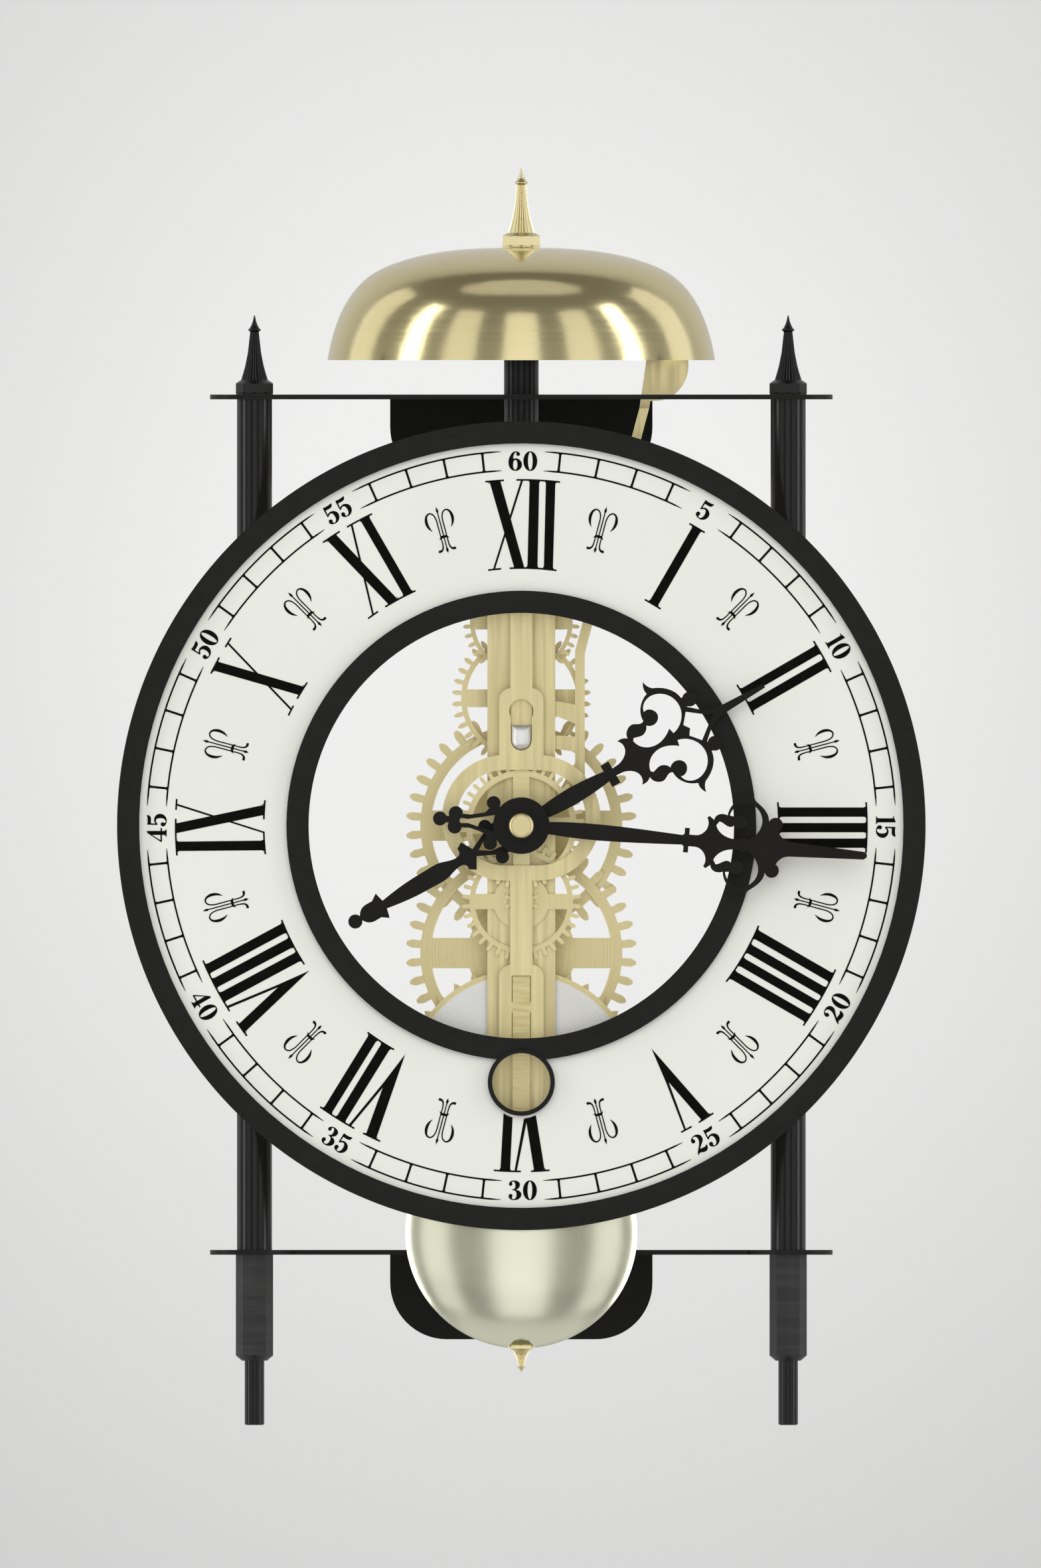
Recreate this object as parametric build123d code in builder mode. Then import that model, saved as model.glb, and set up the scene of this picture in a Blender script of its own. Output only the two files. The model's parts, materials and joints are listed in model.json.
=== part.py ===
"""Wall skeleton clock with a passing strike on a bell: frame, movement, dial, hands and pendulum.

Millimetres. +X right and +Z up as seen from the front, the wall is the plane y = 0 and the
clock stands forward of it towards -Y. The origin is the hanging hole in the top plate's tab.
Heights named *_Z are measured from the dial's centre; DIAL_Z puts that centre in the frame.
"""
from build123d import *
import os
from math import acos, cos, degrees, hypot, pi, radians, sin

os.makedirs("parts", exist_ok=True)

# ---- driving dimensions ----
DIAL_Z = -93.0            # dial centre below the hanging hole
DIAL_R = 100.0
DIAL_BORE_R = 52.6
WHITE_IN_R = 58.1
WHITE_OUT_R = 94.5
DIAL_BACK = -97.0         # y of the chapter ring's back face
DIAL_T = 1.2
RING_T = 1.2

PLATE_T = 1.2             # frame plates
PLATE_HALF_X = 77.0
PLATE_FRONT = -90.0
TOP_UNDER_Z = 105.4
BOTTOM_UNDER_Z = -106.1
TAB_HALF_X = 32.45
TAB_DROP = 20.9
TAB_CORNER_R = 14.0
HANGER_R = 3.0

PILLAR_X = 66.0
PILLAR_Y = -84.0
PILLAR_R = 4.35
TIE_R = 2.43           # the leg end below the nut
TIE_SHANK_R = 2.2
TIE_HOLE_R = 2.5
LEG_NUT_LOW_Z = -132.3
TIE_LOW_Z = -148.2
DECAGON_R = 4.85

BELL_Y = -52.0
BELL_R = 47.95
BELL_RIM_Z = 115.1
BELL_TOP_Z = 143.0
BELL_WALL = 1.2
POST_R = 4.3

REAR_BACK = -56.3         # movement plates, y of each back face
FRONT_BACK = -80.0
MOVEMENT_T = 1.5
MOVEMENT_HALF_X = 8.4
CROSS_HALF_X = 40.0
CROSS_TOP_Z = -58.0
CROSS_LOW_Z = -70.0

BARREL_Z = -64.5          # arbor heights
SECOND_Z = -31.5
THIRD_Z = 31.5
FOURTH_Z = 50.4
ESCAPE_Z = 66.36
ANCHOR_Z = 76.2
MINUTE_WORK_Z = -18.75
HAMMER_Z = 21.9

ARBOR_R = 1.2
CENTRE_R = 2.0
FIT = 0.05                # radial clearance of every running fit

HOUR_ANGLE = 30.0         # hands, above +X
MINUTE_ANGLE = -5.02
HOUR_BACK = -101.0
MINUTE_BACK = -103.2
HAND_T = 1.0

BOB_R = 28.7
BOB_Z = -100.6
LEADER_BACK = -87.0
LEADER_T = 1.2


def front(y, angle=0.0, x=0.0, z=0.0):
    """A plane facing the viewer at depth y, its x turned by angle, its origin at (x, z) on the dial."""
    turn = radians(angle)
    return Plane(origin=(x, y, DIAL_Z + z), x_dir=(cos(turn), 0, sin(turn)), z_dir=(0, -1, 0))


def level(z):
    """A level plane at height z over the dial's centre."""
    return Plane.XY.offset(DIAL_Z + z)


def polar(r, angle):
    return (r * cos(radians(angle)), r * sin(radians(angle)))


def wheel_teeth(count, pitch_r, root_r, tip_r, roll_r, share=0.44, first=None):
    """Cycloidal wheel outline: radial flanks, then the epicycloid of a circle roll_r up to tip_r."""
    step = 360 / count
    half = step * share / 2
    start = 90 + step / 2 if first is None else first
    shifts = []
    for part in (0.0, 0.45, 0.8, 1.0):
        r = pitch_r + (tip_r - pitch_r) * part
        spin = acos(min(1, (roll_r**2 + (pitch_r + roll_r)**2 - r**2) / (2 * roll_r * (pitch_r + roll_r))))
        theta = spin * roll_r / pitch_r
        x = (pitch_r + roll_r) * cos(theta) - roll_r * cos(theta + spin)
        y = (pitch_r + roll_r) * sin(theta) - roll_r * sin(theta + spin)
        shifts.append((r, degrees(abs(y) / hypot(x, y))))
    points = []
    for k in range(count):
        mid = start + k * step
        points.append(polar(root_r, mid - half))
        points += [polar(r, mid - half + s) for r, s in shifts]
        points += [polar(r, mid + half - s) for r, s in reversed(shifts)]
        points.append(polar(root_r, mid + half))
    return points


def pinion_leaves(count, pitch_r, root_r, tip_r, share=0.32, first=-90.0):
    """Pinion outline: radial leaves with round tips, one leaf at the angle first."""
    step = 360 / count
    half = step * share / 2
    points = []
    for k in range(count):
        mid = first + k * step
        add = tip_r - pitch_r
        side = [(root_r, half), (pitch_r, half), (pitch_r + 0.6 * add, 0.75 * half), (tip_r, 0.35 * half)]
        points += [polar(r, mid - s) for r, s in side]
        points += [polar(r, mid + s) for r, s in reversed(side)]
    return points


def outline(points):
    """A filled closed polygon in the open sketch."""
    with BuildLine() as edge:
        Polyline(*points, close=True)
    make_face(edge.edges())


def spoked(rim_in_r, hub_r, spoke_half):
    """Cut the four windows between hub and rim out of the open wheel sketch."""
    with BuildSketch(mode=Mode.PRIVATE) as windows:
        Circle(rim_in_r)
        Circle(hub_r, mode=Mode.SUBTRACT)
        Rectangle(2 * rim_in_r, 2 * spoke_half, mode=Mode.SUBTRACT)
        Rectangle(2 * spoke_half, 2 * rim_in_r, mode=Mode.SUBTRACT)
    add(windows.sketch, mode=Mode.SUBTRACT)


def disc(plane, radius, length):
    """A round bar in the open part, from plane along its normal."""
    with BuildSketch(plane) as section:
        Circle(radius)
    extrude(section.sketch, amount=length)


def bore(plane, radius, length):
    """A round hole in the open part, from plane along its normal."""
    with BuildSketch(plane) as section:
        Circle(radius)
    extrude(section.sketch, amount=length, mode=Mode.SUBTRACT)


# ---- frame: two plates, two pillars on tie rods, finials and leg nuts ----
def frame_plate(under_z):
    """One plate with its wall tab bent down and its two tie-rod holes; the caller cuts what differs."""
    with BuildSketch(level(under_z)) as sheet:
        with Locations((0, PLATE_FRONT / 2)):
            RectangleRounded(2 * PLATE_HALF_X, -PLATE_FRONT, 9)
        with Locations((-PILLAR_X, PILLAR_Y), (PILLAR_X, PILLAR_Y)):
            Circle(TIE_HOLE_R, mode=Mode.SUBTRACT)
    extrude(sheet.sketch, amount=PLATE_T)
    with BuildSketch(front(0)) as tab:
        with Locations((0, under_z - TAB_DROP / 2)):
            Rectangle(2 * TAB_HALF_X, TAB_DROP)
        fillet(tab.vertices().group_by(Axis.Y)[0], TAB_CORNER_R)
    extrude(tab.sketch, amount=PLATE_T)


HAMMER_SLOT = (22.0, 42.5, -80.5, -65.0)   # x from, x to, y from, y to
with BuildPart() as top_plate:
    frame_plate(TOP_UNDER_Z)
    bore(Plane(origin=(0, 0, 0), x_dir=(1, 0, 0), z_dir=(0, -1, 0)), HANGER_R, PLATE_T)
    with BuildSketch(level(TOP_UNDER_Z)):
        with Locations((0, BELL_Y)):
            Circle(POST_R + FIT)
        with Locations(((HAMMER_SLOT[0] + HAMMER_SLOT[1]) / 2, (HAMMER_SLOT[2] + HAMMER_SLOT[3]) / 2)):
            RectangleRounded(HAMMER_SLOT[1] - HAMMER_SLOT[0], HAMMER_SLOT[3] - HAMMER_SLOT[2], 3)
    extrude(amount=PLATE_T, mode=Mode.SUBTRACT)

BOB_RECESS_BACK = -78.0
with BuildPart() as bottom_plate:
    frame_plate(BOTTOM_UNDER_Z)
    with BuildSketch(level(BOTTOM_UNDER_Z)):
        outline([(-63.2, PLATE_FRONT - 1), (-61.0, PLATE_FRONT + 2.5), (-56.0, BOB_RECESS_BACK),
                 (56.0, BOB_RECESS_BACK), (61.0, PLATE_FRONT + 2.5), (63.2, PLATE_FRONT - 1)])
    extrude(amount=PLATE_T, mode=Mode.SUBTRACT)


def pillar(x):
    with BuildPart() as tube:
        with BuildSketch(level(BOTTOM_UNDER_Z + PLATE_T)):
            with Locations((x, PILLAR_Y)):
                Circle(PILLAR_R)
                Circle(TIE_HOLE_R, mode=Mode.SUBTRACT)
        extrude(amount=TOP_UNDER_Z - BOTTOM_UNDER_Z - PLATE_T)
    return tube


pillar_left = pillar(-PILLAR_X)
pillar_right = pillar(PILLAR_X)

TIE_GRIP = 3.2            # thread inside each finial
with BuildPart() as tie_rods:
    with BuildSketch(level(TIE_LOW_Z)):
        with Locations((-PILLAR_X, PILLAR_Y), (PILLAR_X, PILLAR_Y)):
            Circle(TIE_R)
    extrude(amount=LEG_NUT_LOW_Z - TIE_LOW_Z)
    chamfer(tie_rods.edges().group_by(Axis.Z)[0], 0.3)
    with BuildSketch(level(LEG_NUT_LOW_Z)):
        with Locations((-PILLAR_X, PILLAR_Y), (PILLAR_X, PILLAR_Y)):
            Circle(TIE_SHANK_R)
    extrude(amount=TOP_UNDER_Z + PLATE_T + TIE_GRIP - LEG_NUT_LOW_Z)


def leg_nut(x):
    with BuildPart() as nut:
        with BuildSketch(level(LEG_NUT_LOW_Z)):
            with Locations((x, PILLAR_Y)):
                RegularPolygon(DECAGON_R, 10, rotation=18)
        extrude(amount=BOTTOM_UNDER_Z - LEG_NUT_LOW_Z)
        with BuildSketch(Plane(origin=(x, PILLAR_Y, DIAL_Z), x_dir=(1, 0, 0), z_dir=(0, -1, 0))):
            with BuildLine():
                Polyline((0, LEG_NUT_LOW_Z), (3.1, LEG_NUT_LOW_Z), (DECAGON_R + 0.05, LEG_NUT_LOW_Z + 1.5),
                         (DECAGON_R + 0.05, BOTTOM_UNDER_Z), (0, BOTTOM_UNDER_Z), close=True)
            make_face()
        revolve(axis=Axis((x, PILLAR_Y, 0), (0, 0, 1)), mode=Mode.INTERSECT)
        with BuildSketch(level(LEG_NUT_LOW_Z)):
            with Locations((x, PILLAR_Y)):
                Circle(TIE_HOLE_R)
        extrude(amount=BOTTOM_UNDER_Z - LEG_NUT_LOW_Z, mode=Mode.SUBTRACT)
    return nut


leg_nut_left = leg_nut(-PILLAR_X)
leg_nut_right = leg_nut(PILLAR_X)


FLUTES = 20
FLUTE_DEPTH = 0.86     # a groove's radius as a share of its ridge's
CONE = [(3.4, 3.5), (2.8, 5.4), (2.3, 7.2), (1.66, 10.4), (1.3, 13.6), (1.08, 15.5)]   # radius, height


def finial(x, y, base_z, wide=1.0, tall=1.0, threaded=True):
    """Ten-sided nut, fluted hollow-sided cone, collar and point, on base_z, or hanging if tall < 0."""
    def at(r, h):
        return (r * wide, base_z + h * tall)

    with BuildPart() as spire:
        with BuildSketch(Plane(origin=(x, y, DIAL_Z), x_dir=(1, 0, 0), z_dir=(0, -1, 0))):
            with BuildLine():
                Polyline(at(0, 0), at(4.3, 0), at(4.9, 0.6), at(4.9, 2.6), at(3.4, 3.6), at(0, 3.6), at(0, 0))
            make_face()
            with BuildLine():
                Polyline(at(0, 15.4), at(1.0, 15.4), at(1.58, 15.9), at(1.58, 16.1), at(1.2, 16.4),
                         at(0.86, 17.0), at(0.45, 18.0), at(0.1, 19.6), at(0, 19.6), at(0, 15.4))
            make_face()
        revolve(axis=Axis((x, y, 0), (0, 0, 1)))
        with BuildSketch(level(base_z)) as facets:
            with Locations((x, y)):
                RegularPolygon(DECAGON_R * wide, 10, rotation=18)
        extrude(facets.sketch, amount=20 * tall, mode=Mode.INTERSECT)
        for r, h in CONE:
            ridges = [polar(r * wide * (1 if k % 2 else FLUTE_DEPTH), 180 * k / FLUTES) for k in range(2 * FLUTES)]
            with BuildSketch(level(base_z + h * tall)):
                with Locations((x, y)):
                    Polygon(*ridges, align=None)
        loft(ruled=True)
        if threaded:
            with BuildSketch(level(base_z)) as thread:
                with Locations((x, y)):
                    Circle(TIE_HOLE_R)
            extrude(thread.sketch, amount=TIE_GRIP + 0.2, mode=Mode.SUBTRACT)
    return spire


finial_left = finial(-PILLAR_X, PILLAR_Y, TOP_UNDER_Z + PLATE_T)
finial_right = finial(PILLAR_X, PILLAR_Y, TOP_UNDER_Z + PLATE_T)

# ---- bell on its post, and the short lower post ----
BELL_SEAT_Z = BELL_TOP_Z - BELL_WALL
with BuildPart() as bell:
    with BuildSketch(Plane(origin=(0, BELL_Y, DIAL_Z), x_dir=(1, 0, 0), z_dir=(0, -1, 0))):
        with BuildLine() as dome:
            Spline((0, BELL_TOP_Z), (11.2, 142.7), (20.9, 141.7), (30.6, 139.3), (37.4, 136.0),
                   (42.3, 130.9), (45.6, 124.4), (47.1, 119.4), (BELL_R, BELL_RIM_Z))
            Line((BELL_R, BELL_RIM_Z), (BELL_R - BELL_WALL, BELL_RIM_Z))
            Spline((BELL_R - BELL_WALL, BELL_RIM_Z), (45.9, 119.2), (44.4, 124.0), (41.2, 130.2),
                   (36.5, 134.9), (30.1, 138.0), (20.7, 140.5), (11.1, 141.5), (0, BELL_SEAT_Z))
            Line((0, BELL_SEAT_Z), (0, BELL_TOP_Z))
        make_face()
    revolve(axis=Axis((0, BELL_Y, 0), (0, 0, 1)))
    with BuildSketch(level(BELL_SEAT_Z - 1)):
        with Locations((0, BELL_Y)):
            Circle(TIE_HOLE_R)
    extrude(amount=BELL_WALL + 2, mode=Mode.SUBTRACT)

POST_LOW_Z = 70.0
POST_SHOULDER_Z = BELL_SEAT_Z - 0.25
with BuildPart() as bell_post:
    with BuildSketch(level(POST_LOW_Z)):
        with Locations((0, BELL_Y)):
            Circle(POST_R)
    extrude(amount=POST_SHOULDER_Z - POST_LOW_Z)
    with BuildSketch(level(POST_SHOULDER_Z)):
        with Locations((0, BELL_Y)):
            Circle(TIE_R)
    extrude(amount=BELL_TOP_Z + TIE_GRIP - POST_SHOULDER_Z)
bell_finial = finial(0, BELL_Y, BELL_TOP_Z)

LOWER_POST_TOP_Z = -78.0
with BuildPart() as lower_post:
    with BuildSketch(level(BOTTOM_UNDER_Z + PLATE_T)):
        with Locations((0, BELL_Y)):
            Circle(POST_R)
    extrude(amount=LOWER_POST_TOP_Z - BOTTOM_UNDER_Z - PLATE_T)

# ---- dial: white chapter ring between two black rings, on four standoffs ----
WINDING_Z = -63.45
WINDING_HOLE_R = 7.6
with BuildPart() as dial_plate:
    with BuildSketch(front(DIAL_BACK)):
        Circle(DIAL_R - 0.4)
        Circle(DIAL_BORE_R + 0.3, mode=Mode.SUBTRACT)
        with Locations((0, WINDING_Z)):
            Circle(WINDING_HOLE_R, mode=Mode.SUBTRACT)
    extrude(amount=DIAL_T)

BEAD_R = 1.85
BEAD_T = 0.25


def dial_ring(r_in, r_out, bead_track_r, bead_count):
    """A raised black ring with a faint row of half-round beads along its open edge."""
    with BuildPart() as ring:
        with BuildSketch(front(DIAL_BACK - DIAL_T)):
            Circle(r_out)
            Circle(r_in, mode=Mode.SUBTRACT)
        extrude(amount=RING_T)
        with BuildSketch(front(DIAL_BACK - DIAL_T - RING_T)):
            with PolarLocations(bead_track_r, bead_count, start_angle=90):
                Circle(BEAD_R)
            with BuildSketch(mode=Mode.PRIVATE) as band:
                Circle(r_out)
                Circle(r_in, mode=Mode.SUBTRACT)
            add(band.sketch, mode=Mode.INTERSECT)
        extrude(amount=BEAD_T)
    return ring


GROMMET_R = 8.3
dial_outer_ring = dial_ring(WHITE_OUT_R, DIAL_R, 99.5, 72)
dial_inner_ring = dial_ring(DIAL_BORE_R, WHITE_IN_R, 52.9, 36)
with dial_inner_ring:
    bore(front(DIAL_BACK - DIAL_T, z=WINDING_Z), GROMMET_R, RING_T + 1)

with BuildPart() as winding_grommet:
    with BuildSketch(front(DIAL_BACK - DIAL_T, z=WINDING_Z)):
        Circle(GROMMET_R)
    extrude(amount=RING_T + 0.4)
    fillet(winding_grommet.edges().group_by(Axis.Y)[0], 0.35)
    with BuildSketch(front(DIAL_BACK, z=WINDING_Z)):
        Circle(WINDING_HOLE_R)
    extrude(amount=DIAL_T)
    bore(front(DIAL_BACK + 1, z=WINDING_Z), 7.2, 6)

STANDOFF_Z = 60.0
with BuildPart() as dial_standoffs:
    with BuildSketch(front(PILLAR_Y)):
        with GridLocations(2 * PILLAR_X, 2 * STANDOFF_Z, 2, 2):
            Circle(2.6)
    extrude(amount=PILLAR_Y - DIAL_BACK)
    with BuildSketch(level(BOTTOM_UNDER_Z)):
        with Locations((-PILLAR_X, PILLAR_Y), (PILLAR_X, PILLAR_Y)):
            Circle(PILLAR_R)
    extrude(amount=TOP_UNDER_Z - BOTTOM_UNDER_Z, mode=Mode.SUBTRACT)

# ---- movement plates ----
REAR_TOP_Z = 98.0
REAR_LOW_Z = -92.0
FRONT_TOP_Z = 94.0
FRONT_LOW_Z = -74.0
PLATE_PILLARS = [(0, 89), (-36, -64), (36, -64)]
POST_SCREWS = [80.0, -84.0]
ARBORS = [SECOND_Z, THIRD_Z, FOURTH_Z, ESCAPE_Z]
BARREL_PIVOT_R = 2.2
SCREW_R = 1.2


def movement_plate(back, top_z, low_z):
    """The upright bar with its lower cross piece, pierced for arbors and pillar screws."""
    with BuildSketch(front(back)) as bar:
        with Locations((0, (top_z + low_z) / 2)):
            Rectangle(2 * MOVEMENT_HALF_X, top_z - low_z)
        with Locations((0, (CROSS_TOP_Z + CROSS_LOW_Z) / 2)):
            RectangleRounded(2 * CROSS_HALF_X, CROSS_TOP_Z - CROSS_LOW_Z, 4)
        fillet(bar.vertices().group_by(Axis.Y)[-1], 3)
        fillet(bar.vertices().group_by(Axis.Y)[0], 3)
        with Locations(*[(0, z) for z in ARBORS]):
            Circle(ARBOR_R + FIT, mode=Mode.SUBTRACT)
        with Locations(*PLATE_PILLARS):
            Circle(SCREW_R, mode=Mode.SUBTRACT)
        with Locations((0, BARREL_Z)):
            Circle(BARREL_PIVOT_R + FIT, mode=Mode.SUBTRACT)
        with Locations((0, 0)):
            Circle(CENTRE_R + FIT, mode=Mode.SUBTRACT)
        with Locations((0, ANCHOR_Z)):
            Circle(ARBOR_R + FIT, mode=Mode.SUBTRACT)
    extrude(bar.sketch, amount=MOVEMENT_T)


with BuildPart() as rear_plate:
    movement_plate(REAR_BACK, REAR_TOP_Z, REAR_LOW_Z)
    for screw_z in POST_SCREWS:
        bore(front(REAR_BACK, z=screw_z), SCREW_R, MOVEMENT_T)
    bore(front(REAR_BACK, x=17.5, z=BARREL_Z), SCREW_R, MOVEMENT_T)

with BuildPart() as front_plate:
    movement_plate(FRONT_BACK, FRONT_TOP_Z, FRONT_LOW_Z)
    bore(front(FRONT_BACK, z=HAMMER_Z), ARBOR_R, MOVEMENT_T)
    bore(front(FRONT_BACK, z=MINUTE_WORK_Z), ARBOR_R, MOVEMENT_T)

REAR_FACE = REAR_BACK - MOVEMENT_T
FRONT_FACE = FRONT_BACK - MOVEMENT_T
with BuildPart() as plate_pillars:
    with BuildSketch(front(REAR_FACE)):
        with Locations(*PLATE_PILLARS):
            Circle(2.6)
            Circle(SCREW_R, mode=Mode.SUBTRACT)
    extrude(amount=REAR_FACE - FRONT_BACK)


def screw_head(plane):
    """A slotted cheese head 1.2 high on plane."""
    disc(plane, 2.3, 1.2)
    with BuildSketch(plane.offset(0.7)) as slot:
        Rectangle(5, 0.6)
    extrude(slot.sketch, amount=0.6, mode=Mode.SUBTRACT)


with BuildPart() as plate_screws:
    for pillar_x, pillar_z in PLATE_PILLARS:
        screw_head(front(FRONT_FACE, x=pillar_x, z=pillar_z))
        disc(front(REAR_BACK, x=pillar_x, z=pillar_z), SCREW_R - 0.05, REAR_BACK - FRONT_FACE + 0.2)
        if pillar_x:
            screw_head(Plane(origin=(pillar_x, REAR_BACK, DIAL_Z + pillar_z), x_dir=(1, 0, 0), z_dir=(0, 1, 0)))
    for screw_z in POST_SCREWS:
        screw_head(front(REAR_FACE, z=screw_z))
        disc(front(REAR_BACK, z=screw_z), SCREW_R - 0.05, MOVEMENT_T + 0.2)

COCK_TOP_Z = 86.4
COCK_FACE = -90.6
COCK_PIN_R = 1.5
with BuildPart() as suspension_cock:
    with BuildSketch(front(FRONT_FACE)):
        with Locations((0, COCK_TOP_Z - 2.5)):
            RectangleRounded(11, 5, 1)
    extrude(amount=FRONT_FACE - COCK_FACE)
    with BuildSketch(front(COCK_FACE + 1.4)):
        with Locations((0, (COCK_TOP_Z + ANCHOR_Z - 4) / 2)):
            RectangleRounded(11, COCK_TOP_Z - ANCHOR_Z + 4, 2)
    extrude(amount=1.4)
    disc(front(COCK_FACE + 4.2, z=ANCHOR_Z), COCK_PIN_R, 2.8)

with BuildPart() as hammer_stud:
    disc(front(FRONT_BACK, z=HAMMER_Z), ARBOR_R - 0.02, MOVEMENT_T)
    disc(front(-79.2, z=HAMMER_Z), 3.0, 0.8)
    disc(front(-76.6, z=HAMMER_Z), 1.5, 2.6)
    disc(front(-76.2, z=HAMMER_Z), 2.4, 0.9)

with BuildPart() as minute_stud:
    disc(front(FRONT_BACK, z=MINUTE_WORK_Z), ARBOR_R - 0.02, MOVEMENT_T)
    disc(front(FRONT_FACE, z=MINUTE_WORK_Z), 1.5, 4.9)
    disc(front(FRONT_FACE, z=MINUTE_WORK_Z), 2.6, 0.6)
    disc(front(-86.35, z=MINUTE_WORK_Z), 2.2, 0.4)

# ---- going barrel: great wheel, drum, cap, spring; arbor with ratchet and click behind ----
GREAT_BACK = -65.4
GREAT_T = 1.8
DRUM_FRONT = -75.6
DRUM_R = 29.0
with BuildPart() as great_wheel:
    with BuildSketch(front(GREAT_BACK, z=BARREL_Z)):
        outline(wheel_teeth(38, 28.5, 26.6, 30.4, 2.25))
        Circle(BARREL_PIVOT_R + FIT, mode=Mode.SUBTRACT)
    extrude(amount=GREAT_T)

DRUM_BACK = GREAT_BACK - GREAT_T
with BuildPart() as barrel_drum:
    with BuildSketch(front(DRUM_BACK, z=BARREL_Z)):
        Circle(DRUM_R)
        Circle(DRUM_R - 1.3, mode=Mode.SUBTRACT)
    extrude(amount=DRUM_BACK - DRUM_FRONT)

with BuildPart() as barrel_cap:
    with BuildSketch(front(DRUM_FRONT + 1.0, z=BARREL_Z)):
        Circle(DRUM_R - 1.3)
        Circle(BARREL_PIVOT_R + FIT, mode=Mode.SUBTRACT)
    extrude(amount=0.9)

SPRING_TURNS = 5
with BuildPart() as mainspring:
    with BuildSketch(front(DRUM_BACK - 0.4, z=BARREL_Z)):
        inner_turns = [polar(9 + 16.6 * k / (SPRING_TURNS * 24), k * 15) for k in range(SPRING_TURNS * 24 + 1)]
        outer_turns = [polar(10 + 16.6 * k / (SPRING_TURNS * 24), k * 15) for k in range(SPRING_TURNS * 24 + 1)]
        outline(inner_turns + outer_turns[::-1])
    extrude(amount=6.4)

SQUARE = 3.0
with BuildPart() as barrel_arbor:
    disc(front(-53.6, z=BARREL_Z), BARREL_PIVOT_R, 81.7 - 53.6)
    disc(front(DRUM_BACK - 0.3, z=BARREL_Z), 5.0, 6.4)
    with BuildSketch(front(-81.7, z=BARREL_Z)):
        Rectangle(SQUARE, SQUARE)
    extrude(amount=4.6)

RATCHET_R = 10.0
with BuildPart() as ratchet_wheel:
    with BuildSketch(front(-54.6, z=BARREL_Z)):
        ratchet = []
        for tooth in range(24):
            ratchet += [polar(RATCHET_R - 1.3, tooth * 15), polar(RATCHET_R, tooth * 15)]
        outline(ratchet)
        Circle(BARREL_PIVOT_R, mode=Mode.SUBTRACT)
    extrude(amount=1.4)

CLICK_X = 17.5
with BuildPart() as click:
    with BuildSketch(front(-54.6, x=CLICK_X, z=BARREL_Z)):
        Circle(2.6)
        outline([(-2.4, 0.5), (2.4, 0.5), (1.6, 5.0), (-3.2, 8.6), (-9.3, 7.2), (-8.6, 6.1), (-4.0, 5.8)])
        Circle(1.2 + FIT, mode=Mode.SUBTRACT)
    extrude(amount=1.4)

with BuildPart() as click_screw:
    disc(front(-53.4, x=CLICK_X, z=BARREL_Z), 2.2, 1.1)
    disc(front(-53.6, x=CLICK_X, z=BARREL_Z), SCREW_R, 4.2)


# ---- going train: wheels on their arbors ----
def train_wheel(back, thick, z, teeth, windows, hub_bore):
    """A crossed-out wheel; teeth are wheel_teeth arguments, windows are rim, hub and spoke sizes."""
    with BuildPart() as wheel:
        with BuildSketch(front(back, z=z)):
            outline(wheel_teeth(*teeth))
            spoked(*windows)
            Circle(hub_bore, mode=Mode.SUBTRACT)
        extrude(amount=thick)
    return wheel


PIVOT_IN = 0.3            # how far each pivot stops short of a plate's outer face


def train_arbor(z, leaf_back, leaf_length, leaves):
    """A plain arbor between the plates with its pinion cut solid on it."""
    with BuildPart() as arbor:
        disc(front(REAR_BACK - PIVOT_IN, z=z), ARBOR_R, REAR_BACK - FRONT_FACE - 2 * PIVOT_IN)
        with BuildSketch(front(leaf_back, z=z)):
            outline(pinion_leaves(*leaves))
        extrude(amount=leaf_length)
    return arbor


LARGE_TEETH = (36, 27.0, 25.0, 28.5, 2.25)
LARGE_WINDOWS = (22.3, 13.3, 3.75)
LARGE_LEAVES = (6, 4.5, 2.8, 5.15)
second_wheel = train_wheel(-62.4, 1.5, SECOND_Z, LARGE_TEETH, LARGE_WINDOWS, ARBOR_R)
second_arbor = train_arbor(SECOND_Z, -64.9, 2.1, LARGE_LEAVES)
centre_wheel = train_wheel(-59.8, 1.5, 0, LARGE_TEETH, LARGE_WINDOWS, CENTRE_R)
third_wheel = train_wheel(-64.6, 1.5, THIRD_Z, (36, 16.2, 14.9, 17.2, 1.35), (13.6, 5.5, 2.2), ARBOR_R)
third_arbor = train_arbor(THIRD_Z, -59.3, 2.5, LARGE_LEAVES)
fourth_wheel = train_wheel(-68.0, 1.4, FOURTH_Z, (36, 13.68, 12.7, 14.45, 1.14), (11.6, 4.2, 1.9), ARBOR_R)
fourth_arbor = train_arbor(FOURTH_Z, -64.1, 2.5, (6, 2.7, 1.6, 3.05))
escape_arbor = train_arbor(ESCAPE_Z, -67.5, 2.4, (6, 2.28, 1.35, 2.6))

ARBOR_NOSE = -105.4
with BuildPart() as centre_arbor:
    disc(front(REAR_BACK - PIVOT_IN), CENTRE_R, REAR_BACK - PIVOT_IN - ARBOR_NOSE)
    with BuildSketch(front(-61.9)):
        outline(pinion_leaves(*LARGE_LEAVES))
    extrude(amount=2.5)

ESCAPE_TEETH = 20
ESCAPE_R = 7.2
with BuildPart() as escape_wheel:
    with BuildSketch(front(-72.2, z=ESCAPE_Z)):
        escape_points = []
        for tooth in range(ESCAPE_TEETH):
            escape_points += [polar(5.6, tooth * 18), polar(ESCAPE_R, tooth * 18 + 5), polar(5.6, tooth * 18 + 8)]
        outline(escape_points)
        spoked(4.6, 2.4, 0.6)
        Circle(ARBOR_R, mode=Mode.SUBTRACT)
    extrude(amount=1.2)

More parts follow.
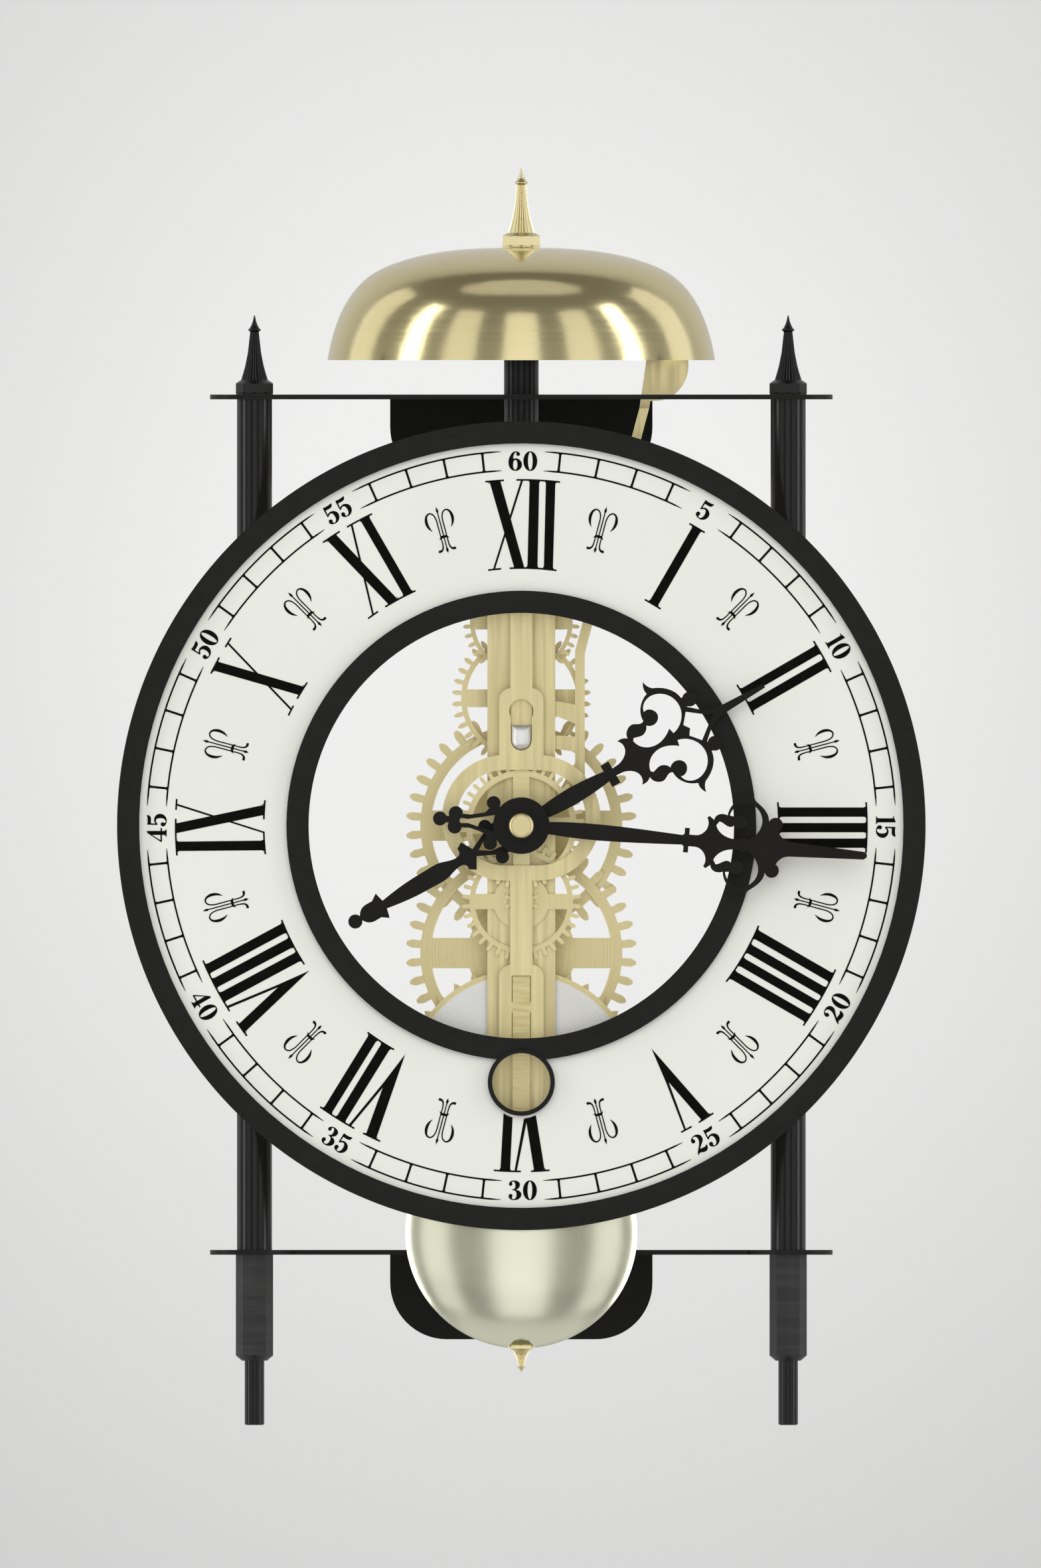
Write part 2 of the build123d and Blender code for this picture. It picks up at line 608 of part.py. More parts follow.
# ---- motion work in front of the front plate ----
CANNON_R = 2.9
PIPE_R = 3.8
with BuildPart() as cannon_pinion:
    with BuildSketch(front(-82.1)):
        outline(pinion_leaves(12, 4.69, 3.6, 5.3, 0.36))
    extrude(amount=1.7)
    disc(front(-83.8), CANNON_R, -83.8 - MINUTE_BACK)
    disc(front(MINUTE_BACK + 0.9), 3.6, 0.9)
    bore(front(-82), CENTRE_R, 22)

with BuildPart() as hour_wheel:
    with BuildSketch(front(-84.6)):
        outline(wheel_teeth(40, 15.0, 13.7, 15.6, 1.87, 0.42, -85.5))
        spoked(12.2, 6.2, 2.05)
    extrude(amount=1.3)
    disc(front(-84.3), PIPE_R, -84.3 - HOUR_BACK + HAND_T)
    bore(front(-84), CANNON_R + FIT, 20)

with BuildPart() as minute_wheel:
    with BuildSketch(front(-82.3, z=MINUTE_WORK_Z)):
        outline(wheel_teeth(36, 14.06, 12.8, 14.75, 2.34, 0.42))
        spoked(11.5, 6.9, 1.9)
        Circle(1.5 + FIT, mode=Mode.SUBTRACT)
    extrude(amount=1.2)

with BuildPart() as minute_pinion:
    with BuildSketch(front(-83.5, z=MINUTE_WORK_Z)):
        outline(pinion_leaves(10, 3.75, 2.75, 4.35, 0.36, 90.0))
        Circle(1.5 + FIT, mode=Mode.SUBTRACT)
    extrude(amount=2.6)

CAM_R = 9.2
with BuildPart() as lifting_cam:
    with BuildSketch(front(-77.7)):
        outline([polar(4.6 + (CAM_R - 4.6) * k / 24, 200 - k * 15) for k in range(25)])
        Circle(CENTRE_R, mode=Mode.SUBTRACT)
    extrude(amount=1.4)

# ---- hands: pierced outlines drawn for one side and mirrored ----
HUB_R = 7.0


def mirrored_hand(back, angle, half, hub_bore):
    """Extrude a hand from its upper half sketch, mirrored across its own centre line."""
    with BuildPart() as hand:
        with BuildSketch(front(back, angle)):
            add(half)
            mirror(about=Plane.XZ)
            Circle(HUB_R)
            Circle(hub_bore, mode=Mode.SUBTRACT)
        extrude(amount=HAND_T)
    return hand


with BuildSketch() as hour_half:
    with BuildLine():
        Polyline((0, 0), (0, 1.5), (6, 1.5))
        Spline((6, 1.5), (15, 2.15), (20, 1.9), (24.3, 1.4))
        Polyline((24.3, 1.4), (24.3, 3.0), (26.6, 3.0), (26.6, 1.0), (28.2, 1.1))
        Spline((28.2, 1.1), (30.3, 1.9), (31.5, 3.2), (31.75, 4.7), (30.95, 6.15))
        Spline((30.95, 6.15), (32.2, 6.2), (33.55, 5.5))
        Spline((33.55, 5.5), (34.4, 7.3), (36.2, 7.95), (38.2, 7.1), (39.05, 7.3))
        Spline((39.05, 7.3), (39.5, 9.5), (41.0, 11.5), (43.15, 12.7))
        Spline((43.15, 12.7), (43.05, 14.0), (43.8, 15.7))
        Spline((43.8, 15.7), (44.2, 14.3), (45.1, 13.2))
        Spline((45.1, 13.2), (48.1, 11.3), (49.5, 9.4), (50.0, 7.6))
        Polyline((50.0, 7.6), (50.2, 4.9), (49.3, 4.05), (47.15, 1.5), (48.2, 0), (0, 0))
    make_face()
    with BuildLine():
        Spline((34.45, 4.3), (35.4, 2.2), (37.2, 0.95), (39.1, 0.6), (41.3, 1.05), (43.7, 2.5))
        Line((43.7, 2.5), (44.05, 1.0))
        Spline((44.05, 1.0), (46.6, 2.2), (48.3, 4.5), (48.65, 7.0), (47.8, 9.4),
               (45.8, 11.2), (43.4, 11.75), (41.5, 11.1), (40.3, 9.2))
        Spline((40.3, 9.2), (42.5, 8.4), (42.9, 6.8), (41.6, 5.35), (40.2, 5.3), (39.15, 6.0))
        Spline((39.15, 6.0), (38.4, 4.9), (37.0, 4.35), (35.8, 4.6), (34.9, 4.85))
        Line((34.9, 4.85), (34.45, 4.3))
    make_face(mode=Mode.SUBTRACT)
    with Locations((51.7, 6.3)):
        Circle(1.85)
    with Locations((50.3, 6.3)):
        Rectangle(1.4, 2.6)
    outline([(49.3, 4.05), (50.2, 4.95), (52.5, 2.9), (55.0, 1.6), (58, 1.05), (69.3, 0.55), (69.3, 0), (55.0, 0),
             (52.6, 1.5)])
    with Locations((-7.9, 4.35)):
        Circle(1.65)
    outline([(-5.5, 4.2), (-7.8, 3.9), (-9.0, 3.1), (-11.5, 1.9), (-13.6, 0.9), (-13.6, 0), (-12.2, 0), (-9.6, 1.6), (-5.5, 2.2)])
    with BuildLine():
        Polyline((-13.2, 0), (-13.2, 0.8), (-15.0, 3.9), (-16.6, 2.9))
        Spline((-16.6, 2.9), (-17.0, 1.4), (-18.8, 1.2), (-22, 2.1), (-26, 2.25), (-30, 2.15), (-39, 1.1))
        Polyline((-39, 1.1), (-39.6, 3.5), (-41.3, 2.3), (-43.0, 2.35))
        Spline((-43.0, 2.35), (-44.6, 1.9), (-45.8, 0.5))
        Polyline((-45.8, 0.5), (-46.4, 0.5), (-46.4, 0), (-13.2, 0))
    make_face()
    with Locations((-47.4, 0)):
        Circle(1.75)
    with BuildSketch(mode=Mode.PRIVATE) as upper:
        with Locations((0, 25)):
            Rectangle(200, 50)
    add(upper.sketch, mode=Mode.INTERSECT)
hour_hand = mirrored_hand(HOUR_BACK, HOUR_ANGLE, hour_half.sketch, PIPE_R)

with BuildSketch() as minute_half:
    with BuildLine():
        Polyline((0, 0), (0, 1.45), (6, 1.45))
        Spline((6, 1.45), (20, 2.0), (30, 1.7), (40.0, 1.2))
        Polyline((40.0, 1.2), (40.4, 1.6), (40.4, 3.05), (41.6, 3.05), (41.6, 1.45), (43.0, 1.45))
        Spline((43.0, 1.45), (44.9, 2.1), (46.0, 3.8), (45.65, 6.0))
        Polyline((45.65, 6.0), (46.2, 6.5), (47.4, 5.6))
        Spline((47.4, 5.6), (48.2, 6.9), (49.4, 7.25), (50.6, 7.0))
        Spline((50.6, 7.0), (51.2, 9.0), (52.6, 10.7), (54.6, 11.5))
        Spline((54.6, 11.5), (55.9, 11.9), (56.7, 13.0))
        Spline((56.7, 13.0), (56.8, 12.0), (57.3, 11.1))
        Spline((57.3, 11.1), (59.0, 9.8), (60.4, 8.2), (60.95, 6.5))
        Line((60.95, 6.5), (63.6, 3.9))
        Spline((63.6, 3.9), (64.5, 2.7), (66.6, 1.85))
        Polyline((66.6, 1.85), (85.1, 0.95), (85.8, 0.35), (85.8, 0), (0, 0))
    make_face()
    with BuildLine():
        Spline((48.05, 4.3), (48.9, 2.9), (50.5, 1.8), (52.6, 1.3), (55.3, 1.7))
        Line((55.3, 1.7), (55.8, 1.2))
        Spline((55.8, 1.2), (58.1, 2.9), (59.3, 6.0), (58.2, 8.9), (55.3, 10.4), (52.8, 9.6), (51.2, 7.0))
        Line((51.2, 7.0), (52.6, 6.8))
        Spline((52.6, 6.8), (54.0, 7.4), (55.7, 5.7), (54.0, 3.9), (52.4, 4.6))
        Spline((52.4, 4.6), (51.3, 4.2), (49.8, 4.9), (48.7, 5.3))
        Line((48.7, 5.3), (48.05, 4.3))
    make_face(mode=Mode.SUBTRACT)
    with Locations((62.65, 5.65)):
        Circle(1.8)
    with Locations((-7.3, 5.0)):
        Circle(1.7)
    outline([(-5.5, 4.2), (-7.8, 4.2), (-9.2, 2.5), (-12.7, 1.65), (-14.5, 1.7), (-15.4, 0.7), (-13.2, 0.5), (-8.7, 1.6),
             (-5.5, 2.3)])
    with Locations((-16.4, 1.65)):
        Circle(1.75)
    outline([(-15.3, 0), (-15.3, 1), (-18.9, 0.8), (-18.9, 0)])
    with Locations((-20.2, 0)):
        Circle(1.73)
    with BuildSketch(mode=Mode.PRIVATE) as upper:
        with Locations((0, 25)):
            Rectangle(200, 50)
    add(upper.sketch, mode=Mode.INTERSECT)
minute_hand = mirrored_hand(MINUTE_BACK, MINUTE_ANGLE, minute_half.sketch, CENTRE_R)

with BuildPart() as hand_nut:
    disc(front(MINUTE_BACK - HAND_T), 3.15, 2.4)
    fillet(hand_nut.edges().group_by(Axis.Y)[0], 0.9)
    bore(front(MINUTE_BACK - HAND_T), CENTRE_R, MINUTE_BACK - HAND_T - ARBOR_NOSE)

# ---- escapement anchor with crutch, and the pendulum it drives ----
with BuildPart() as anchor:
    with BuildSketch(front(-71.8, z=ANCHOR_Z)):
        Circle(2.6)
        outline([(0, 2.2), (4.4, 1.2), (7.6, -2.2), (7.9, -4.2), (6.6, -4.9), (6.3, -2.7), (3.8, -0.4), (0, 0.2),
                 (-3.8, -0.4), (-6.3, -2.7), (-6.6, -4.9), (-7.9, -4.2), (-7.6, -2.2), (-4.4, 1.2)])
        Circle(ARBOR_R, mode=Mode.SUBTRACT)
    extrude(amount=2.0)

CRUTCH_BACK = -83.2
CRUTCH_HALF = 2.6
PEG_TOP_Z = 24.9
PEG_R = 2.45
with BuildPart() as crutch:
    disc(front(REAR_BACK - PIVOT_IN, z=ANCHOR_Z), ARBOR_R, REAR_BACK - PIVOT_IN - CRUTCH_BACK + 1.2)
    with BuildSketch(front(CRUTCH_BACK)):
        with Locations((0, ANCHOR_Z)):
            Circle(3.4)
        with Locations((0, (ANCHOR_Z + PEG_TOP_Z) / 2)):
            Rectangle(2 * CRUTCH_HALF, ANCHOR_Z - PEG_TOP_Z)
    extrude(amount=1.2)

PEG_LOW_Z = 21.15
with BuildPart() as crutch_pin:
    with BuildSketch(front(CRUTCH_BACK)):
        with Locations((0, PEG_LOW_Z)):
            Circle(PEG_R)
        with Locations((0, (PEG_LOW_Z + PEG_TOP_Z) / 2)):
            Rectangle(2 * PEG_R, PEG_TOP_Z - PEG_LOW_Z)
    extrude(amount=CRUTCH_BACK - LEADER_BACK + LEADER_T + 1.3)
    fillet(crutch_pin.edges().group_by(Axis.Y)[0], 1.9)

LEADER_HALF = 2.77
LEADER_WIDE = 5.5
LOOP_Z = 1.95
FORK_Z = -54.8
ROD_HALF = 2.15
SLOT_HALF = 2.38
with BuildPart() as pendulum_leader:
    with BuildSketch(front(LEADER_BACK)) as leader:
        with Locations((0, ANCHOR_Z)):
            Circle(4.0)
        with Locations((0, (ANCHOR_Z + FORK_Z) / 2)):
            Rectangle(2 * LEADER_HALF, ANCHOR_Z - FORK_Z)
        with BuildLine():
            Polyline((-LEADER_HALF, 14), (LEADER_HALF, 14), (LEADER_WIDE, 16.5), (LEADER_WIDE, 31.0))
            ThreePointArc((LEADER_WIDE, 31.0), (4.7, 33.0), (LEADER_HALF, 34.0))
            Line((LEADER_HALF, 34.0), (-LEADER_HALF, 34.0))
            ThreePointArc((-LEADER_HALF, 34.0), (-4.7, 33.0), (-LEADER_WIDE, 31.0))
            Polyline((-LEADER_WIDE, 31.0), (-LEADER_WIDE, 16.5), (-LEADER_HALF, 14))
        make_face()
        with BuildLine():
            Polyline((-LEADER_WIDE, FORK_Z), (LEADER_WIDE, FORK_Z), (LEADER_WIDE, -37.4))
            ThreePointArc((LEADER_WIDE, -37.4), (4.7, -35.4), (LEADER_HALF, -34.4))
            Line((LEADER_HALF, -34.4), (-LEADER_HALF, -34.4))
            ThreePointArc((-LEADER_HALF, -34.4), (-4.7, -35.4), (-LEADER_WIDE, -37.4))
            Line((-LEADER_WIDE, -37.4), (-LEADER_WIDE, FORK_Z))
        make_face()
        with Locations((0, LOOP_Z)):
            SlotOverall(39.2, 31.1)
            SlotOverall(31.8, 23.6, mode=Mode.SUBTRACT)
        with Locations((0, ANCHOR_Z)):
            Circle(COCK_PIN_R + FIT, mode=Mode.SUBTRACT)
        with Locations((0, 28.3)):
            Circle(3.0, mode=Mode.SUBTRACT)
        with Locations((0, 21.2)):
            Circle(PEG_R + FIT + 0.1, mode=Mode.SUBTRACT)
        with Locations((0, 24.7)):
            Rectangle(2 * (PEG_R + FIT + 0.1), 7.0, mode=Mode.SUBTRACT)
        with Locations((0, (FORK_Z - 37.1) / 2)):
            Rectangle(2 * SLOT_HALF, -37.1 - FORK_Z, mode=Mode.SUBTRACT)
    extrude(amount=LEADER_T)

LUG_Z = -44.9
with BuildPart() as pendulum_rod:
    with BuildSketch(front(LEADER_BACK)):
        with Locations((0, (-37.25 + BOB_Z) / 2)):
            Rectangle(2 * ROD_HALF, BOB_Z + 37.25)
        with Locations((0, LUG_Z)):
            Rectangle(2 * SLOT_HALF, 2.6)
    extrude(amount=LEADER_T)
    with BuildSketch(front(LEADER_BACK)):
        with Locations((0, (BOB_Z - 128.0) / 2)):
            Rectangle(2 * ROD_HALF, 128.0 + BOB_Z)
    extrude(amount=LEADER_T)

BOB_MID = LEADER_BACK - LEADER_T / 2
NUT_TOP_Z = -128.4
with BuildPart() as bob:
    with BuildSketch(Plane(origin=(0, BOB_MID, DIAL_Z + BOB_Z), x_dir=(1, 0, 0), z_dir=(0, 0, 1))):
        with BuildLine():
            Line((0, 5.0), (0, -7.4))
            Spline((0, -7.4), (12, -6.5), (21, -4.4), (26.6, -2.0), (BOB_R, -0.6), tangents=((1, 0), (0.75, 0.65)))
            Line((BOB_R, -0.6), (BOB_R, 0.6))
            Spline((BOB_R, 0.6), (24, 2.3), (14, 4.3), (0, 5.0), tangents=((-0.8, 0.4), (-1, 0)))
        make_face()
    revolve(axis=Axis((0, 0, DIAL_Z + BOB_Z), (0, 1, 0)))
    with BuildSketch(level(BOB_Z - BOB_R - 1)):
        with Locations((0, BOB_MID)):
            Rectangle(2 * ROD_HALF, LEADER_T)
    extrude(amount=2 * BOB_R + 2, mode=Mode.SUBTRACT)
    with BuildSketch(level(NUT_TOP_Z)):
        with Locations((0, BOB_MID)):
            Circle(3.4)
    extrude(amount=-5, mode=Mode.SUBTRACT)

rating_nut = finial(0, BOB_MID, NUT_TOP_Z, 0.65, -0.34, threaded=False)

# ---- passing-strike hammer ----
LEVER_BACK = -77.8
HEAD_BACK = -67.0
with BuildPart() as hammer_lever:
    with BuildSketch(front(LEVER_BACK)):
        outline([(13.3, 12.6), (15.7, 11.8), (15.7, 42.6), (31.6, 103.2), (29.2, 103.2), (13.3, 43.2)])
        outline([(15.0, 11.9), (15.0, 15.0), (13.3, 15.6), (8.6, 7.2), (9.2, 6.2)])
        with Locations((0, HAMMER_Z)):
            Circle(3.8)
        outline([(0, 23.9), (8.8, 22.3), (14, 22.0), (14, 18.2), (8.8, 18.9), (0, 19.4)])
        outline([(1.5, 24.5), (8.6, 30.8), (14, 29.8), (14, 25.0), (8.8, 27.0), (3.4, 22.5)])
        with Locations((0, HAMMER_Z)):
            Circle(1.5 + FIT, mode=Mode.SUBTRACT)
    extrude(amount=1.2)
    with BuildSketch(front(HEAD_BACK)):
        outline([(28.1, 99.0), (30.5, 99.0), (31.6, 103.2), (29.2, 103.2)])
    extrude(amount=HEAD_BACK - LEVER_BACK)

with BuildPart() as hammer_head:
    with BuildSketch(front(HEAD_BACK)):
        with BuildLine():
            Polyline((29.2, 103.2), (31.6, 103.2), (31.9, 105.0), (34.3, 105.1))
            Spline((34.3, 105.1), (37.8, 106.6), (40.5, 110.0), (41.3, 114.5))
            Spline((41.3, 114.5), (40.4, 117.2), (38.0, 118.4))
            Polyline((38.0, 118.4), (32.6, 118.4), (30.9, 115.1), (29.2, 103.2))
        make_face()
    extrude(amount=2.4)

pieces = {
    "top_plate": top_plate, "bottom_plate": bottom_plate, "pillar_left": pillar_left,
    "pillar_right": pillar_right, "tie_rods": tie_rods, "leg_nut_left": leg_nut_left,
    "leg_nut_right": leg_nut_right, "finial_left": finial_left, "finial_right": finial_right,
    "bell": bell, "bell_post": bell_post, "bell_finial": bell_finial, "lower_post": lower_post,
    "dial_plate": dial_plate, "dial_outer_ring": dial_outer_ring, "dial_inner_ring": dial_inner_ring,
    "winding_grommet": winding_grommet, "dial_standoffs": dial_standoffs, "rear_plate": rear_plate,
    "front_plate": front_plate, "plate_pillars": plate_pillars, "plate_screws": plate_screws,
    "suspension_cock": suspension_cock, "hammer_stud": hammer_stud, "minute_stud": minute_stud,
    "great_wheel": great_wheel, "barrel_drum": barrel_drum, "barrel_cap": barrel_cap,
    "mainspring": mainspring, "barrel_arbor": barrel_arbor, "ratchet_wheel": ratchet_wheel,
    "click": click, "click_screw": click_screw, "second_wheel": second_wheel,
    "second_arbor": second_arbor, "centre_wheel": centre_wheel, "centre_arbor": centre_arbor,
    "third_wheel": third_wheel, "third_arbor": third_arbor, "fourth_wheel": fourth_wheel,
    "fourth_arbor": fourth_arbor, "escape_wheel": escape_wheel, "escape_arbor": escape_arbor,
    "cannon_pinion": cannon_pinion, "hour_wheel": hour_wheel, "minute_wheel": minute_wheel,
    "minute_pinion": minute_pinion, "lifting_cam": lifting_cam, "hour_hand": hour_hand,
    "minute_hand": minute_hand, "hand_nut": hand_nut, "anchor": anchor, "crutch": crutch,
    "crutch_pin": crutch_pin, "pendulum_leader": pendulum_leader, "pendulum_rod": pendulum_rod,
    "bob": bob, "rating_nut": rating_nut, "hammer_lever": hammer_lever, "hammer_head": hammer_head,
}
for name, piece in pieces.items():
    piece.part.label = name
    export_step(piece.part, f"parts/{name}.step")
print(len(pieces), "nodes")
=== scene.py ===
import json
import math

import bpy
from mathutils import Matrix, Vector
from mathutils.geometry import delaunay_2d_cdt


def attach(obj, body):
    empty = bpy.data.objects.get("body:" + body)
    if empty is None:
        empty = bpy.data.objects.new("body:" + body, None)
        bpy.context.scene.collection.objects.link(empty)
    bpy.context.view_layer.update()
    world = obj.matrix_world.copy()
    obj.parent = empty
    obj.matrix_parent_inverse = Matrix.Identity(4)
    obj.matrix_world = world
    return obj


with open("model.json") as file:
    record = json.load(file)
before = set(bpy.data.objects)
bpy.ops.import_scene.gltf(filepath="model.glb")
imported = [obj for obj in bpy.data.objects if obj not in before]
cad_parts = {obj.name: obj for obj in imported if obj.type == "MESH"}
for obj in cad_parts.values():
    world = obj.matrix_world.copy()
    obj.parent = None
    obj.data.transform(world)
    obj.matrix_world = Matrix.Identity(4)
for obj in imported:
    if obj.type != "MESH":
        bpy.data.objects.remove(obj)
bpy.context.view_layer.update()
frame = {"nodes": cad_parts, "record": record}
nodes = frame["nodes"]
scene = bpy.context.scene

MM = 0.001
DIAL_Z = -93.0      # the dial's centre
BARREL_Z = -157.5   # the winding axis
DIAL_FACE = -98.2   # y of the dial's front face
PRINT_DEPTH = 0.05  # how far the print stands on it


# ---------------------------------------------------------------- materials

def srgb(r, g, b):
    """sRGB 0-255 as a linear colour."""
    def lin(v):
        v /= 255
        return v / 12.92 if v <= 0.04045 else ((v + 0.055) / 1.055) ** 2.4
    return (lin(r), lin(g), lin(b), 1.0)


class Shader:
    """A principled material with short calls for its texture nodes."""

    def __init__(self, name, metallic=0.0, roughness=0.5):
        self.mat = bpy.data.materials.new(name)
        self.mat.use_nodes = True
        self.tree = self.mat.node_tree
        self.bsdf = self.tree.nodes["Principled BSDF"]
        self.bsdf.inputs["Metallic"].default_value = metallic
        self.bsdf.inputs["Roughness"].default_value = roughness
        self.place = self.node("ShaderNodeTexCoord").outputs["Object"]

    def node(self, kind, **settings):
        made = self.tree.nodes.new(kind)
        for key, value in settings.items():
            setattr(made, key, value)
        return made

    def link(self, out, into):
        self.tree.links.new(out, into)

    def mapped(self, scale, place=None):
        m = self.node("ShaderNodeMapping")
        m.inputs["Scale"].default_value = scale
        self.link(place or self.place, m.inputs["Vector"])
        return m.outputs["Vector"]

    def noise(self, scale, stretch=(1, 1, 1), detail=4.0, place=None):
        n = self.node("ShaderNodeTexNoise")
        n.inputs["Scale"].default_value = scale
        n.inputs["Detail"].default_value = detail
        self.link(self.mapped(stretch, place), n.inputs["Vector"])
        return n.outputs["Fac"]

    def turned(self, z, scale):
        """Noise that only varies with the distance from an axis along Y at height z, as turning marks do."""
        move = self.node("ShaderNodeVectorMath", operation="SUBTRACT")
        move.inputs[1].default_value = (0.0, 0.0, z * MM)
        self.link(self.place, move.inputs[0])
        flat = self.node("ShaderNodeVectorMath", operation="MULTIPLY")
        flat.inputs[1].default_value = (1.0, 0.0, 1.0)
        self.link(move.outputs[0], flat.inputs[0])
        far = self.node("ShaderNodeVectorMath", operation="LENGTH")
        self.link(flat.outputs[0], far.inputs[0])
        join = self.node("ShaderNodeCombineXYZ")
        self.link(far.outputs["Value"], join.inputs[0])
        return self.noise(scale, detail=3.0, place=join.outputs[0])

    def ramp(self, fac, low, high, start=0.3, end=0.7):
        """Fac from start to end as a colour from low to high."""
        r = self.node("ShaderNodeValToRGB")
        r.color_ramp.elements[0].position = start
        r.color_ramp.elements[0].color = low
        r.color_ramp.elements[1].position = end
        r.color_ramp.elements[1].color = high
        self.link(fac, r.inputs["Fac"])
        return r.outputs["Color"]

    def span(self, fac, low, high, start=0.3, end=0.7):
        """Fac from start to end as a number from low to high."""
        m = self.node("ShaderNodeMapRange")
        m.inputs["From Min"].default_value = start
        m.inputs["From Max"].default_value = end
        m.inputs["To Min"].default_value = low
        m.inputs["To Max"].default_value = high
        self.link(fac, m.inputs["Value"])
        return m.outputs["Result"]

    def blend(self, fac, a, b):
        """Colour a where fac is 0, and b where it is 1."""
        m = self.node("ShaderNodeMix", data_type="RGBA")
        self.link(fac, m.inputs[0])
        self.link(a, m.inputs[6])
        self.link(b, m.inputs[7])
        return m.outputs[2]

    def colour(self, out):
        self.link(out, self.bsdf.inputs["Base Color"])

    def rough(self, out):
        self.link(out, self.bsdf.inputs["Roughness"])

    def bump(self, fac, strength, distance=0.00005):
        b = self.node("ShaderNodeBump")
        b.inputs["Strength"].default_value = strength
        b.inputs["Distance"].default_value = distance
        self.link(fac, b.inputs["Height"])
        self.link(b.outputs["Normal"], self.bsdf.inputs["Normal"])


def black_paint(name, low, high, rough_low, rough_high, grain=1600.0, strength=0.35, shine=0.2):
    s = Shader(name)
    s.bsdf.inputs["Specular IOR Level"].default_value = shine
    s.colour(s.ramp(s.noise(60.0), low, high))
    s.rough(s.span(s.noise(220.0), rough_low, rough_high))
    s.bump(s.noise(grain, detail=2.0), strength, 0.00003)
    return s.mat


def milled_black():
    """Black finish over milling marks that run level round the nut."""
    s = Shader("milled_black_nut")
    s.bsdf.inputs["Specular IOR Level"].default_value = 0.5
    marks = s.noise(900.0, (0.06, 0.06, 1.0), detail=4.0)
    s.colour(s.ramp(marks, srgb(13, 13, 12), srgb(36, 36, 35), 0.4, 0.66))
    s.rough(s.span(marks, 0.3, 0.45))
    s.bump(marks, 0.5, 0.00004)
    return s.mat


def satin_metal(name, low, high, stretch=(1, 1, 1), axis_z=None):
    """Satin metal, brushed along stretch's short side, or turned on an axis along Y at height axis_z."""
    s = Shader(name, metallic=1.0)
    grain = s.noise(900.0, stretch, detail=3.0) if axis_z is None else s.turned(axis_z, 2600.0)
    s.colour(s.ramp(s.noise(45.0, detail=3.0), low, high))
    s.rough(s.span(grain, 0.30, 0.42))
    s.bump(grain, 0.25, 0.00002)
    return s.mat


def bell_brass():
    """Polished spun brass: fine marks run round the bell's upright axis."""
    s = Shader("polished_spun_brass", metallic=1.0)
    spun = s.noise(900.0, (0.0, 0.0, 1.0), detail=3.0)
    s.colour(s.ramp(s.noise(25.0, detail=4.0), srgb(222, 208, 158), srgb(230, 217, 170)))
    s.rough(s.span(spun, 0.14, 0.19))
    s.bump(spun, 0.04, 0.00001)
    return s.mat


SATIN_BRASS = srgb(219, 205, 155), srgb(227, 214, 166)
# Painted light: a lighter copy of the satin brass, for the hour wheel only, to offset the shade it sits in
# behind the dial's opening.
BRASS_PAINTED_LIGHTER = srgb(230, 216, 164), srgb(238, 225, 176)


def dial_paint():
    s = Shader("silk_white_dial", roughness=0.45)
    s.bsdf.inputs["Specular IOR Level"].default_value = 0.4
    s.colour(s.ramp(s.noise(18.0, detail=3.0), srgb(226, 227, 219), srgb(230, 231, 224)))
    s.rough(s.span(s.noise(160.0), 0.38, 0.5))
    s.bump(s.noise(1300.0, detail=2.0), 0.12, 0.00002)
    return s.mat


def rod_brass():
    """Cross-brushed brass: wavering lines run across the rod."""
    s = Shader("cross_brushed_brass", metallic=1.0)
    lines = s.noise(1100.0, (0.1, 0.3, 1.0), detail=5.0)
    s.colour(s.ramp(lines, srgb(196, 180, 126), srgb(232, 220, 172), 0.36, 0.64))
    s.rough(s.span(lines, 0.28, 0.46))
    s.bump(lines, 0.4, 0.00004)
    return s.mat


def bob_gold():
    s = Shader("champagne_gold_bob", metallic=1.0)
    s.colour(s.ramp(s.noise(14.0, detail=3.0), srgb(217, 219, 194), srgb(224, 226, 203)))
    s.rough(s.span(s.noise(120.0), 0.19, 0.22))
    s.bump(s.noise(700.0, detail=2.0), 0.03, 0.00001)
    return s.mat


def silver():
    s = Shader("polished_silver_cap", metallic=1.0)
    turned = s.turned(BARREL_Z, 2200.0)
    s.colour(s.ramp(s.noise(30.0, detail=3.0), srgb(208, 207, 203), srgb(216, 216, 213)))
    s.rough(s.span(turned, 0.26, 0.29))
    s.bump(turned, 0.01, 0.00001)
    return s.mat


# Painted light: the peg's silver is painted far lighter than the cap's silver, to offset the shade of the
# slot it sits in.
def peg_silver_painted_light():
    s = Shader("silver_peg_painted_lighter", metallic=0.85)
    s.colour(s.ramp(s.noise(200.0, detail=3.0), srgb(240, 240, 240), srgb(250, 250, 250)))
    s.rough(s.span(s.noise(500.0), 0.42, 0.5))
    s.bump(s.noise(900.0, detail=2.0), 0.03, 0.00001)
    return s.mat


def print_black():
    s = Shader("black_dial_print", roughness=0.7)
    s.bsdf.inputs["Specular IOR Level"].default_value = 0.08
    s.colour(s.ramp(s.noise(300.0), srgb(4, 4, 2), srgb(9, 9, 6)))
    s.rough(s.span(s.noise(500.0), 0.6, 0.8))
    return s.mat


